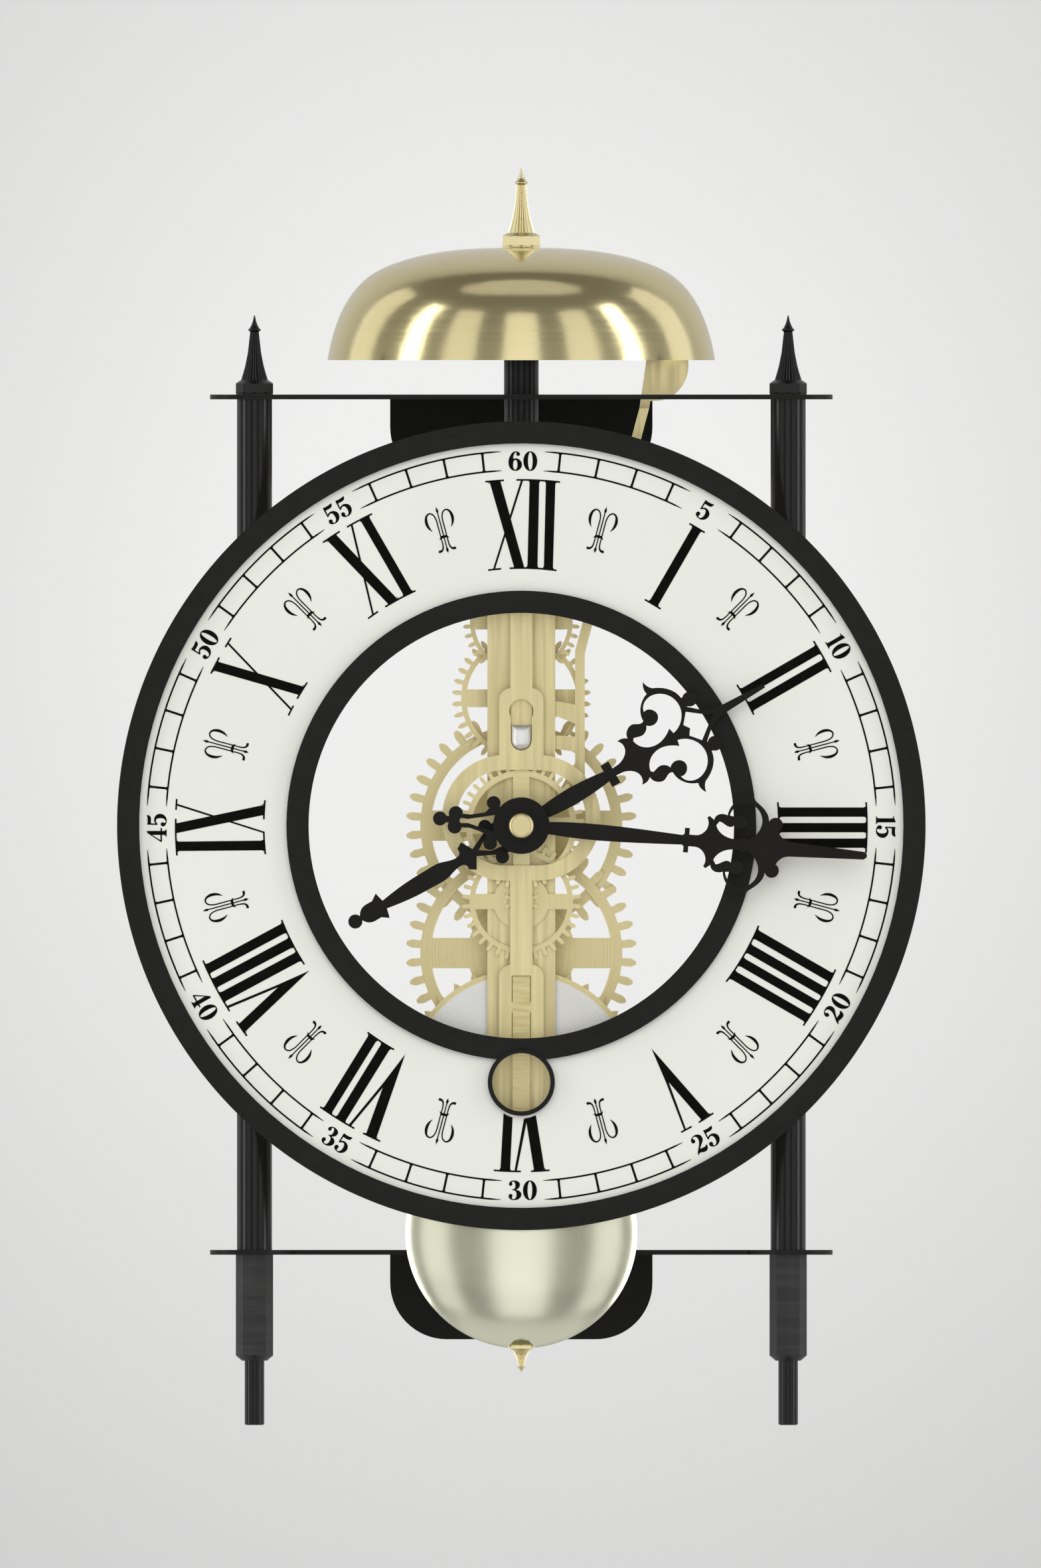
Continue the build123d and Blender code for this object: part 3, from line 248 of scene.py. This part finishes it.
# The first nine are the record's material slots; the last three are for the nodes named below.
materials = {
    "frame_black": black_paint("satin_black_paint", srgb(17, 18, 15), srgb(20, 20, 17), 0.42, 0.47),
    "hand_black": black_paint("matte_black_hands", srgb(13, 12, 10), srgb(18, 17, 14), 0.5, 0.62,
                              grain=2400.0, strength=0.2),
    "satin_brass": satin_metal("satin_brass_plate", *SATIN_BRASS, stretch=(1.0, 1.0, 0.04)),
    "steel": satin_metal("brushed_steel", srgb(176, 176, 172), srgb(196, 196, 192), stretch=(1.0, 0.05, 1.0)),
    "bright_brass": bell_brass(),
    "dial_white": dial_paint(),
    "rod_brass": rod_brass(),
    "bob_metal": bob_gold(),
    "silver": silver(),
    "gloss_black": black_paint("gloss_black_enamel", srgb(9, 9, 8), srgb(13, 13, 12), 0.2, 0.25,
                               grain=600.0, strength=0.01, shine=0.32),
    "peg_painted_light": peg_silver_painted_light(),
    "milled_black": milled_black(),
}

# Wheels and other round brass parts, with the height of each one's axis in mm.
TURNED = {
    "great_wheel": BARREL_Z,
    "barrel_drum": BARREL_Z,
    "second_wheel": -124.5,
    "centre_wheel": DIAL_Z,
    "cannon_pinion": DIAL_Z,
    "hand_nut": DIAL_Z,
    "hour_wheel": DIAL_Z,
    "third_wheel": -61.5,
    "fourth_wheel": -42.6,
    "escape_wheel": -26.64,
    "minute_wheel": -111.75,
    "minute_pinion": -111.75,
}

SPECIAL = {"crutch_pin": "peg_painted_light", "leg_nut_left": "milled_black", "leg_nut_right": "milled_black"}
GLOSS = ("pillar_left", "pillar_right", "tie_rods", "bell_post", "lower_post",
         "finial_left", "finial_right")
for name in GLOSS:
    SPECIAL[name] = "gloss_black"

slots = {p["node"]: p["material_slot"] for p in frame["record"]["subparts"]}
for name, node in nodes.items():
    if name in TURNED:
        # The hour wheel takes the brass with painted light, lighter than the other wheels' brass.
        tones = BRASS_PAINTED_LIGHTER if name == "hour_wheel" else SATIN_BRASS
        paint = satin_metal("turned_brass_" + name, *tones, axis_z=TURNED[name])
    else:
        paint = materials[SPECIAL.get(name, slots[name])]
    if not node.data.materials:
        node.data.materials.append(None)
    for slot in node.material_slots:
        slot.link = "OBJECT"
        slot.material = paint


# ---------------------------------------------------------------- dial print

def smooth(points, rounds=2):
    """Chaikin corner cutting on a closed outline; points with a third value stay sharp."""
    for _ in range(rounds):
        out = []
        for i, p in enumerate(points):
            a, b = points[i - 1], points[(i + 1) % len(points)]
            if len(p) == 3:
                out.append(p)
                continue
            out.append((p[0] * 0.75 + a[0] * 0.25, p[1] * 0.75 + a[1] * 0.25))
            out.append((p[0] * 0.75 + b[0] * 0.25, p[1] * 0.75 + b[1] * 0.25))
        points = out
    return [(p[0], p[1]) for p in points]


def oval(x, y, rx, ry, n=28):
    turn = [2 * math.pi * i / n for i in range(n)]
    return [(x + rx * math.cos(t), y + ry * math.sin(t)) for t in turn]


PEN = 1.4  # every brushed stroke's width is multiplied by this


def brush(points, steps=5):
    """The outline of a stroke through (x, y, width) points, along a Catmull-Rom line."""
    line = []
    for i in range(len(points) - 1):
        p = [points[max(0, min(len(points) - 1, k))] for k in (i - 1, i, i + 1, i + 2)]
        for s in range(steps):
            t = s / steps
            line.append(tuple(
                0.5 * (2 * p[1][k] + (p[2][k] - p[0][k]) * t
                       + (2 * p[0][k] - 5 * p[1][k] + 4 * p[2][k] - p[3][k]) * t * t
                       + (3 * p[1][k] - p[0][k] - 3 * p[2][k] + p[3][k]) * t ** 3)
                for k in range(3)))
    line.append(points[-1])
    left, right = [], []
    for i, (x, y, w) in enumerate(line):
        a, b = line[max(0, i - 1)], line[min(len(line) - 1, i + 1)]
        d = Vector((b[0] - a[0], b[1] - a[1])).normalized()
        w = max(w * PEN, 0.06) / 2
        left.append((x - d.y * w, y + d.x * w))
        right.append((x + d.y * w, y - d.x * w))
    return left + right[::-1]


def placed(outline, angle, x=0.0, y=0.0, flip=False):
    """A local outline (x clockwise, y outward) put on the dial at a clock angle in degrees."""
    t = math.radians(angle)
    out = []
    for p in outline:
        u, v = (-p[0], -p[1]) if flip else (p[0], p[1])
        u, v = u + x, v + y
        out.append((u * math.cos(t) + v * math.sin(t), v * math.cos(t) - u * math.sin(t)))
    return out


def inked(name, shapes, holes=()):
    """One raised print of the union of these outlines, less the holes, on the dial's face."""
    points, faces = [], []
    for loop in list(shapes) + list(holes):
        twice = sum(a[0] * b[1] - b[0] * a[1] for a, b in zip(loop, loop[1:] + loop[:1]))
        loop = loop if twice > 0 else loop[::-1]
        faces.append(list(range(len(points), len(points) + len(loop))))
        points += [Vector(p) for p in loop]
    verts, _, tris, _, _, origin = delaunay_2d_cdt(points, [], faces, 1, 1e-4)
    first_hole = len(shapes)
    kept = [t for t, o in zip(tris, origin) if o and max(o) < first_hole]
    used = sorted({i for t in kept for i in t})
    index = {old: new for new, old in enumerate(used)}
    flat = [verts[i] for i in used]
    n = len(flat)
    back = [(p.x * MM, DIAL_FACE * MM, (p.y + DIAL_Z) * MM) for p in flat]
    face = [(p.x * MM, (DIAL_FACE - PRINT_DEPTH) * MM, (p.y + DIAL_Z) * MM) for p in flat]
    polys, sides = [], {}
    for t in kept:
        a = [index[i] for i in t]
        area = sum(flat[a[k - 1]].x * flat[a[k]].y - flat[a[k]].x * flat[a[k - 1]].y for k in range(3))
        if area < 0:
            a.reverse()
        polys.append([i + n for i in a])
        polys.append(a[::-1])
        for k in range(3):
            edge = (a[k - 1], a[k])
            if (edge[1], edge[0]) in sides:
                del sides[(edge[1], edge[0])]
            else:
                sides[edge] = True
    for i, j in sides:
        polys.append([i, j, j + n, i + n])
    mesh = bpy.data.meshes.new(name)
    mesh.from_pydata(back + face, [], polys)
    mesh.validate()
    mesh.update()
    piece = bpy.data.objects.new(name, mesh)
    scene.collection.objects.link(piece)
    mesh.materials.append(ink)
    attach(piece, "frame")


ink = print_black()
TOP, FOOT = 85.7, 63.5  # radii of the numerals' outer and inner ends
HAIR = 0.42             # serif thickness


def on_arc(u, r):
    """The point of the circle of radius r that is u to the side."""
    return (u, math.sqrt(r * r - u * u))


def bar(a, b, c, d, foot=FOOT):
    """A stroke from a..b at the top to c..d at the foot."""
    return [on_arc(a, TOP), on_arc((a + b) / 2, TOP), on_arc(b, TOP), on_arc(d, foot), on_arc(c, foot)]


def serif(a, b, r, inward):
    """A hairline along an arc, its inner side towards the strokes."""
    n = max(2, int((b - a) / 1.2))
    step = [a + (b - a) * i / n for i in range(n + 1)]
    w = HAIR if inward else -HAIR
    return [on_arc(u, r) for u in step] + [on_arc(u, r - w) for u in reversed(step)]


def bracket(u, r, side, inward):
    """The small curved join of a stroke and its serif."""
    s = 0.55 * side
    down = -0.6 if inward else 0.6
    x, y = on_arc(u, r)
    return [(x - 0.05 * side, y), (x + s, y + down * 0.45), (x + s * 0.4, y + down * 0.75),
    (x, y + down * 1.5),
            (x - 0.05 * side, y + down * 1.5)]


def upright(a, b, c=None, d=None):
    """An I with its brackets."""
    c, d = (a, b) if c is None else (c, d)
    return [bar(a, b, c, d), bracket(a, TOP, -1, True), bracket(b, TOP, 1, True),
            bracket(c, FOOT, -1, False), bracket(d, FOOT, 1, False)]


GROMMET_AT, GROMMET_R = 64.5, 7.95  # its centre's distance from the dial's, and its radius


def above_grommet(u):
    """The point of the grommet's edge that is u to the side, on the VI's side of it."""
    return (u, GROMMET_AT + math.sqrt(GROMMET_R ** 2 - u * u))


# Each hour numeral's strokes and serifs, by clock angle.
NUMERALS = {
    30: upright(-0.28, 2.06) + [serif(-1.33, 3.06, TOP, True), serif(-1.5, 3.06, FOOT, False)],
    60: upright(-2.17, 0.11) + upright(1.72, 4.06)
        + [serif(-3.39, 5.39, TOP, True), serif(-3.5, 5.0, FOOT, False)],
    90: upright(-4.5, -2.2) + upright(-0.66, 1.64) + upright(3.18, 5.48)
        + [serif(-5.8, 6.8, TOP, True), serif(-5.8, 6.8, FOOT, False)],
    120: upright(-6.94, -4.6) + upright(-3.0, -0.67) + upright(0.83, 3.06) + upright(4.67, 6.94)
        + [serif(-8.06, 7.94, TOP, True), serif(-7.94, 8.1, FOOT, False)],
    150: [[on_arc(-4.67, TOP), on_arc(-2.28, TOP), (0.2, 72.9), (-0.33, 63.8)],
          [on_arc(2.3, TOP), on_arc(2.8, TOP), (0.75, 72.9), (-0.33, 63.8), (0.1, 72.9)],
          bracket(-4.67, TOP, -1, True), bracket(-2.28, TOP, 1, True),
          serif(-5.6, -1.33, TOP, True), serif(0.7, 3.67, TOP, True)],
    180: [[on_arc(-5.83, TOP), on_arc(-3.2, TOP), (-1.17, 72.8), above_grommet(-0.75), above_grommet(-2.2),
           above_grommet(-3.6)],
          [on_arc(1.17, TOP), on_arc(1.75, TOP), (-0.6, 72.8), above_grommet(-0.75), (-1.4, 72.8)],
          [on_arc(2.8, TOP), on_arc(5.2, TOP), above_grommet(4.4), above_grommet(3.3), above_grommet(2.15)],
          bracket(-5.83, TOP, -1, True), bracket(-3.2, TOP, 1, True), bracket(2.8, TOP, -1, True),
          bracket(5.2, TOP, 1, True), serif(-7.0, -2.4, TOP, True), serif(0.1, 6.8, TOP, True)],
    210: [[on_arc(-7.67, TOP), on_arc(-4.9, TOP), (-2.6, 72.7), (-3.4, 63.3)],
          [on_arc(-0.6, TOP), on_arc(0.05, TOP), (-2.15, 72.7), (-3.4, 63.3), (-2.8, 72.7)],
          bracket(-7.67, TOP, -1, True), bracket(-4.9, TOP, 1, True)]
        + upright(1.17, 3.6, 0.5, 3.0) + upright(5.1, 7.44, 4.4, 6.8)
        + [serif(-8.8, -4.1, TOP, True), serif(-1.67, 8.33, TOP, True), serif(-0.44, 7.4, FOOT, False)],
    240: [[on_arc(-10.1, TOP), on_arc(-7.6, TOP), (-4.44, 71.8), (-4.83, 63.3)],
          [on_arc(-2.8, TOP), on_arc(-2.15, TOP), (-3.95, 71.8), (-4.83, 63.3), (-4.55, 71.8)],
          bracket(-10.1, TOP, -1, True), bracket(-7.6, TOP, 1, True)]
        + upright(-1.0, 1.5, -1.67, 0.78) + upright(3.0, 5.4, 2.2, 4.7) + upright(6.9, 9.3, 6.2, 8.67)
        + [serif(-11.1, -6.7, TOP, True), serif(-3.67, 10.5, TOP, True), serif(-2.9, 9.44, FOOT, False)],
    270: upright(-6.28, -3.94, -6.1, -3.7)
        + [bar(-1.94, 0.5, 2.7, 5.2), bar(5.06, 5.55, -1.94, -1.5), bracket(0.5, TOP, 1, True),
           bracket(2.7, FOOT, -1, False), bracket(5.2, FOOT, 1, False),
           serif(-7.4, 1.7, TOP, True), serif(3.9, 6.6, TOP, True), serif(-7.06, -1.6, FOOT, False),
           serif(1.56, 6.3, FOOT, False)],
    300: [bar(-4.94, -2.5, 0.55, 2.94), bar(2.6, 3.1, -3.9, -3.4), bracket(-4.94, TOP, -1, True),
          bracket(-2.5, TOP, 1, True), bracket(0.55, FOOT, -1, False), bracket(2.94, FOOT, 1, False),
          serif(-5.83, -1.33, TOP, True), serif(1.6, 4.33, TOP, True), serif(-5.2, -2.5, FOOT, False),
          serif(-0.55, 4.17, FOOT, False)],
    330: upright(3.28, 5.56)
        + [bar(-6.4, -3.8, -1.0, 1.6), bar(0.67, 1.2, -6.0, -5.5), bracket(-6.4, TOP, -1, True),
           bracket(-3.8, TOP, 1, True), bracket(-1.0, FOOT, -1, False), bracket(1.6, FOOT, 1, False),
           serif(-7.5, -2.5, TOP, True), serif(-0.44, 6.6, TOP, True), serif(-7.2, -4.2, FOOT, False),
           serif(-2.1, 6.4, FOOT, False)],
    0: upright(2.06, 4.44, 1.5, 4.0) + upright(6.1, 8.44, 5.56, 7.8)
        + [bar(-7.94, -5.28, -1.67, 0.83), bar(0.0, 0.55, -7.1, -6.6), bracket(-7.94, TOP, -1, True),
           bracket(-5.28, TOP, 1, True), bracket(-1.67, FOOT, -1, False),
           serif(-8.9, -4.3, TOP, True), serif(-1.2, 9.6, TOP, True), serif(-8.2, -5.0, FOOT, False),
           serif(-2.9, 8.7, FOOT, False)],
}
for angle, strokes in NUMERALS.items():
    inked(f"hour_numeral_{angle // 30 or 12}", [placed(s, angle) for s in strokes])

# Arabic figures 4.85 mm tall: (outline, holes, width)
FIGURES = {
    "0": (oval(1.72, 2.42, 1.72, 2.45), [oval(1.72, 2.42, 0.58, 2.2)], 3.44),
    "1": (smooth([(0.2, 0, 1), (2.05, 0, 1), (2.05, 0.22, 1), (1.7, 0.35), (1.66, 0.8), (1.66, 4.85, 1),
                  (1.3, 4.85, 1), (0.9, 4.6), (0.15, 4.4, 1), (0.15, 4.2, 1), (0.62, 4.25), (0.66, 3.9),
                  (0.66, 0.6), (0.6, 0.35), (0.2, 0.22, 1)]), [], 2.0),
    "2": (smooth([(0.05, 0.0, 1), (0.5, 0.4), (1.0, 0.42), (1.6, 0.1), (2.4, 0.0), (2.95, 0.35),
                  (3.25, 1.15), (3.1, 1.6), (2.9, 1.3), (2.4, 1.1), (1.7, 1.25), (1.15, 1.2),
                  (1.9, 1.95), (2.85, 2.7), (3.15, 3.5), (2.95, 4.3), (2.25, 4.8), (1.4, 4.88),
                  (0.6, 4.6), (0.15, 4.0), (0.15, 3.5), (0.5, 3.15), (0.95, 3.2), (1.2, 3.6), (1.1, 4.0),
                  (0.85, 4.25), (0.95, 4.5), (1.4, 4.6), (1.9, 4.3), (2.05, 3.6), (1.85, 2.8),
                  (1.3, 2.0), (0.4, 1.0), (0.05, 0.35)]), [], 3.3),
    "3": (smooth([(0.15, 3.9), (0.3, 4.4), (0.9, 4.82), (1.6, 4.88), (2.45, 4.65), (2.95, 4.1),
                  (2.85, 3.3), (2.4, 2.8), (1.85, 2.55), (2.7, 2.35), (3.25, 1.8), (3.3, 1.1),
                  (2.85, 0.4), (2.0, 0.0), (1.2, -0.03), (0.5, 0.2), (0.1, 0.7), (0.1, 1.2),
                  (0.45, 1.55), (0.85, 1.5), (1.1, 1.15), (1.0, 0.8), (0.85, 0.5), (1.1, 0.25),
                  (1.5, 0.22), (1.95, 0.6), (2.1, 1.3), (1.95, 2.1), (1.5, 2.4), (1.0, 2.44),
                  (1.0, 2.66), (1.5, 2.72), (1.75, 3.1), (1.8, 3.7), (1.65, 4.35), (1.3, 4.62),
                  (0.95, 4.5), (0.9, 4.35), (1.05, 4.05), (1.0, 3.7), (0.7, 3.5), (0.35, 3.55)]), [], 3.35),
    "4": ([(0.0, 1.15), (1.7, 1.15), (1.7, 0.45), (1.3, 0.22), (1.3, 0.0), (3.05, 0.0), (3.05, 0.22),
           (2.7, 0.45), (2.7, 1.15), (3.4, 1.15), (3.4, 1.52), (2.7, 1.52), (2.7, 4.85), (2.25, 4.85),
           (0.0, 1.5)],
          [[(0.42, 1.52), (1.7, 1.52), (1.7, 3.6)]], 3.45),
    "5": (smooth([(0.5, 4.82, 1), (1.6, 4.66), (2.95, 4.88, 1), (2.75, 4.15), (2.2, 3.85),
                  (0.85, 3.9, 1), (0.75, 2.8, 1), (1.2, 3.05), (1.8, 3.15), (2.65, 2.85), (3.2, 2.1),
                  (3.2, 1.3), (2.8, 0.5), (2.0, 0.0), (1.3, -0.03), (0.6, 0.15), (0.12, 0.55),
                  (0.05, 1.05), (0.3, 1.45), (0.7, 1.5), (1.05, 1.3), (1.12, 0.95), (0.92, 0.6),
                  (1.0, 0.32), (1.35, 0.22), (1.8, 0.45), (2.08, 1.0), (2.12, 1.8), (1.95, 2.45),
                  (1.55, 2.72), (1.05, 2.55), (0.7, 2.22, 1), (0.42, 2.3, 1)]), [], 3.25),
    "6": (smooth([(1.8, 4.88), (2.6, 4.72), (2.98, 4.25), (2.85, 3.85), (2.45, 3.65), (2.05, 3.85),
                  (1.98, 4.2), (2.15, 4.45), (1.95, 4.62), (1.6, 4.45), (1.3, 3.8), (1.2, 2.95),
                  (1.7, 3.15), (2.4, 3.05), (3.05, 2.6), (3.4, 1.9), (3.4, 1.1), (2.95, 0.4), (2.2, 0.0),
                  (1.4, 0.0), (0.7, 0.35), (0.2, 1.1), (0.02, 2.2), (0.25, 3.3), (0.8, 4.3), (1.3, 4.72)]),
          [smooth([(1.75, 2.78), (2.15, 2.5), (2.3, 1.8), (2.25, 0.9), (2.0, 0.4), (1.7, 0.25),
                   (1.4, 0.45), (1.22, 1.0), (1.2, 1.8), (1.38, 2.5)])], 3.45),
}
# clock angle: (figures, sideways offset, tops point inward)
MINUTES = {
    0: ("60", 0.35, False), 30: ("5", 0.33, False), 60: ("10", 1.0, False), 90: ("15", 0.3, False),
    120: ("20", -0.15, True), 150: ("25", -0.55, True), 180: ("30", -0.3, True), 210: ("35", 0.67, True),
    240: ("40", 0.67, True), 270: ("45", -0.5, False), 300: ("50", -0.1, False), 330: ("55", -0.4, False),
}
FIGURE_GAP = 0.3
FIGURE_MIDDLE = 2.43  # half a figure's height
FIGURE_R = 90.15      # radius of the figures' middle
for angle, (text, shift, flip) in MINUTES.items():
    wide = sum(FIGURES[c][2] for c in text) + FIGURE_GAP * (len(text) - 1)
    at = -wide / 2
    loops, gaps = [], []
    for c in text:
        outline, inner, advance = FIGURES[c]
        for group, source in ((loops, [outline]), (gaps, inner)):
            for loop in source:
                local = [(p[0] + at, p[1] - FIGURE_MIDDLE) for p in loop]
                group.append(placed(local, angle, shift, FIGURE_R, flip))
        at += advance + FIGURE_GAP
    inked(f"minute_number_{text}", loops, gaps)

# The minute track: two broken circles with a short bar at each minute.
TRACK_OUT, TRACK_IN, LINE = 92.6, 87.9, 0.42
HALF_GAP = 5.3  # from a number's middle to the track's end


def arc_line(r, start, end, width, taper):
    """A thin band on radius r between clock angles, its ends tapering over taper degrees."""
    n = int((end - start) / 0.75)
    outer, inner = [], []
    for i in range(n + 1):
        a = start + (end - start) * i / n
        t = math.radians(a)
        w = width / 2 * min(1.0, 0.3 + 0.7 * min(a - start, end - a) / taper)
        outer.append(((r + w) * math.sin(t), (r + w) * math.cos(t)))
        inner.append(((r - w) * math.sin(t), (r - w) * math.cos(t)))
    return outer + inner[::-1]


for hour in range(12):
    start = 30 * hour
    gap_a = math.degrees((HALF_GAP + MINUTES[start][1]) / 90)
    gap_b = math.degrees((HALF_GAP - MINUTES[(start + 30) % 360][1]) / 90)
    shapes = [arc_line(TRACK_OUT, start + gap_a, start + 30 - gap_b, LINE, 1.5),
              arc_line(TRACK_IN, start + gap_a, start + 30 - gap_b, LINE, 1.5)]
    for m in range(1, 5):
        a, b = TRACK_IN, TRACK_OUT
        shapes.append(placed([(-0.55, a), (-0.28, a + 0.5), (-0.28, b - 0.5), (-0.55, b),
                              (0.55, b), (0.28, b - 0.5), (0.28, a + 0.5), (0.55, a)], start + 6 * m))
    inked(f"minute_track_{hour + 1}", shapes)

# A small ornament at each half hour: a stem with two points, a tie, and a curl and a foot on each side.
ORNAMENT = [
    brush([(0.0, 79.9, 0.2), (0.0, 76.0, 0.22), (0.0, 71.2, 0.2)]),
    [(0.0, 81.6), (-0.2, 81.0), (-0.32, 80.6), (-0.1, 79.8), (0.1, 79.8), (0.32, 80.6), (0.2, 81.0)],
    [(0.0, 69.8), (-0.18, 70.2), (-0.34, 70.6), (-0.1, 71.4), (0.1, 71.4), (0.34, 70.6), (0.18, 70.2)],
    [(-1.25, 73.4), (-0.8, 74.3), (0.8, 74.3), (1.25, 73.4), (0.6, 73.65), (-0.6, 73.65)],
]
for side in (-1, 1):
    ORNAMENT.append(brush([(side * x, y, w) for x, y, w in (
        (0.75, 73.9, 0.2), (0.75, 76.5, 0.22), (0.78, 78.4, 0.22), (1.2, 79.8, 0.24), (2.1, 80.35, 0.26),
        (2.95, 79.8, 0.36), (3.3, 78.5, 0.5), (3.1, 77.1, 0.4), (2.45, 75.9, 0.08))]))
    ORNAMENT.append(brush([(side * x, y, w) for x, y, w in (
        (0.75, 74.0, 0.2), (0.75, 72.4, 0.22), (0.9, 71.3, 0.26), (1.35, 70.7, 0.36), (1.9, 70.6, 0.46),
        (2.2, 70.65, 0.4))]))
for hour in range(12):
    angle = 15 + 30 * hour
    inked(f"ornament_{hour + 1}", [placed(s, angle) for s in ORNAMENT])


# ---------------------------------------------------------------- stage, light, camera

def sheet(name, outline, left, right):
    """A stage sheet: a side outline of (y, z) points drawn out from side to side."""
    verts, faces = [], []
    for y, z in outline:
        verts += [(left, y, z), (right, y, z)]
    for i in range(len(outline) - 1):
        a = 2 * i
        faces.append((a, a + 1, a + 3, a + 2))
    mesh = bpy.data.meshes.new(name)
    mesh.from_pydata(verts, [], faces)
    for p in mesh.polygons:
        p.use_smooth = True
    obj = bpy.data.objects.new(name, mesh)
    scene.collection.objects.link(obj)
    return obj


bend = [(0.75 + 0.55 * math.cos(a), -0.95 - 0.55 * math.sin(a))
        for a in [math.radians(10 * k) for k in range(10)]]
# Wall, bend and floor, as (y, z) in metres.
backdrop = sheet("backdrop", [(1.3, 2.6), (1.3, 0.6)] + bend + [(-1.0, -1.5), (-3.0, -1.5)], -2.6, 2.6)
wall = Shader("pale_paper_painted_falloff", roughness=0.85)
# The paper's colour is painted darker away from a point just below the clock's middle: painted shade for the
# light's fall-off across the backdrop, not made by the lamps.
far = wall.node("ShaderNodeVectorMath", operation="LENGTH")
middle_up = wall.node("ShaderNodeVectorMath", operation="ADD")
middle_up.inputs[1].default_value = (0.0, 0.0, 0.05)
wall.link(wall.mapped((1.2, 0.0, 1.0)), middle_up.inputs[0])
wall.link(middle_up.outputs[0], far.inputs[0])
wall.colour(wall.blend(wall.span(far.outputs["Value"], 0.0, 1.0, 0.08, 0.34),
                       wall.ramp(wall.noise(3.0, detail=2.0), srgb(236, 236, 236), srgb(238, 238, 238)),
                       wall.ramp(wall.noise(2.0, detail=2.0), srgb(196, 196, 196), srgb(199, 199, 199))))
wall.bump(wall.noise(900.0), 0.05, 0.0001)
backdrop.data.materials.append(wall.mat)


CLOCK_MIDDLE = (0.0, -0.06, -0.08)
WALL_MIDDLE = (0.0, 1.3, -0.1)


def softbox(name, azimuth, elevation, distance, wide, tall, power, target=CLOCK_MIDDLE):
    """An area light that faces the target; azimuth 0 is in front of it, 90 to its right."""
    lamp = bpy.data.lights.new(name, "AREA")
    lamp.shape = "RECTANGLE"
    lamp.size, lamp.size_y, lamp.energy = wide, tall, power
    obj = bpy.data.objects.new(name, lamp)
    a, e = math.radians(azimuth), math.radians(elevation)
    where = Vector((math.sin(a) * math.cos(e), -math.cos(a) * math.cos(e), math.sin(e))) * distance
    obj.location = Vector(target) + where
    obj.rotation_euler = (-where).to_track_quat("-Z", "Y").to_euler()
    scene.collection.objects.link(obj)
    return obj


STRIP_FAR, STRIP_TALL, STRIP_Z = 1.7, 3.3, 0.25


def strip(name, azimuth, wide, power):
    """A tall softbox from near the floor to well above the clock."""
    a = math.radians(azimuth)
    lamp = bpy.data.lights.new(name, "AREA")
    lamp.shape = "RECTANGLE"
    lamp.size, lamp.size_y, lamp.energy = wide, STRIP_TALL, power
    obj = bpy.data.objects.new(name, lamp)
    obj.location = (math.sin(a) * STRIP_FAR, -math.cos(a) * STRIP_FAR, STRIP_Z)
    obj.rotation_euler = (math.radians(90), 0, a)
    scene.collection.objects.link(obj)


strip("front_strip", 0, 0.66, 5.3)
for side in (-1, 1):
    strip(f"inner_strip_{side + 1}", 38 * side, 0.62, 4.2)
    strip(f"outer_strip_{side + 1}", 70 * side, 0.4, 12.5)
    strip(f"rear_strip_{side + 1}", 112 * side, 0.7, 4.9)
top = softbox("top_box", 0, 84, 1.8, 1.5, 0.8, 1.3)
top.data.shape = "ELLIPSE"
fill = softbox("fill", 0, 35, 3.0, 3.0, 3.0, 30.0)
fill.visible_glossy = False
softbox("floor_bounce", 0, -60, 1.3, 1.4, 0.7, 0.6)
for side in (-1, 1):
    wash = softbox(f"wall_wash_{side + 1}", 55 * side, 25, 2.4, 1.6, 2.0, 7.0, target=WALL_MIDDLE)
    wash.visible_glossy = False

world = bpy.data.worlds.new("studio_world")
scene.world = world
world.use_nodes = True
wt = world.node_tree
coord = wt.nodes.new("ShaderNodeTexCoord")
split = wt.nodes.new("ShaderNodeSeparateXYZ")
wt.links.new(coord.outputs["Generated"], split.inputs[0])
tone = wt.nodes.new("ShaderNodeValToRGB")
tone.color_ramp.elements[0].position = 0.0
tone.color_ramp.elements[0].color = (0.40, 0.40, 0.40, 1)
tone.color_ramp.elements[1].position = 1.0
tone.color_ramp.elements[1].color = (0.17, 0.17, 0.16, 1)
middle = tone.color_ramp.elements.new(0.55)
middle.color = (0.38, 0.38, 0.37, 1)
lift = wt.nodes.new("ShaderNodeMapRange")
lift.inputs["From Min"].default_value = -1.0
wt.links.new(split.outputs["Z"], lift.inputs["Value"])
wt.links.new(lift.outputs["Result"], tone.inputs["Fac"])
wt.links.new(tone.outputs["Color"], wt.nodes["Background"].inputs["Color"])
wt.nodes["Background"].inputs["Strength"].default_value = 1.0

scene.view_settings.view_transform = "Standard"

camera = bpy.data.cameras.new("camera")
camera.type = "ORTHO"
camera.ortho_scale = 0.3877
camera.clip_end = 20.0
eye = bpy.data.objects.new("camera", camera)
eye.location = (-0.0002, -1.4, -0.0827)
eye.rotation_euler = (math.radians(90), 0, 0)
scene.collection.objects.link(eye)
scene.camera = eye
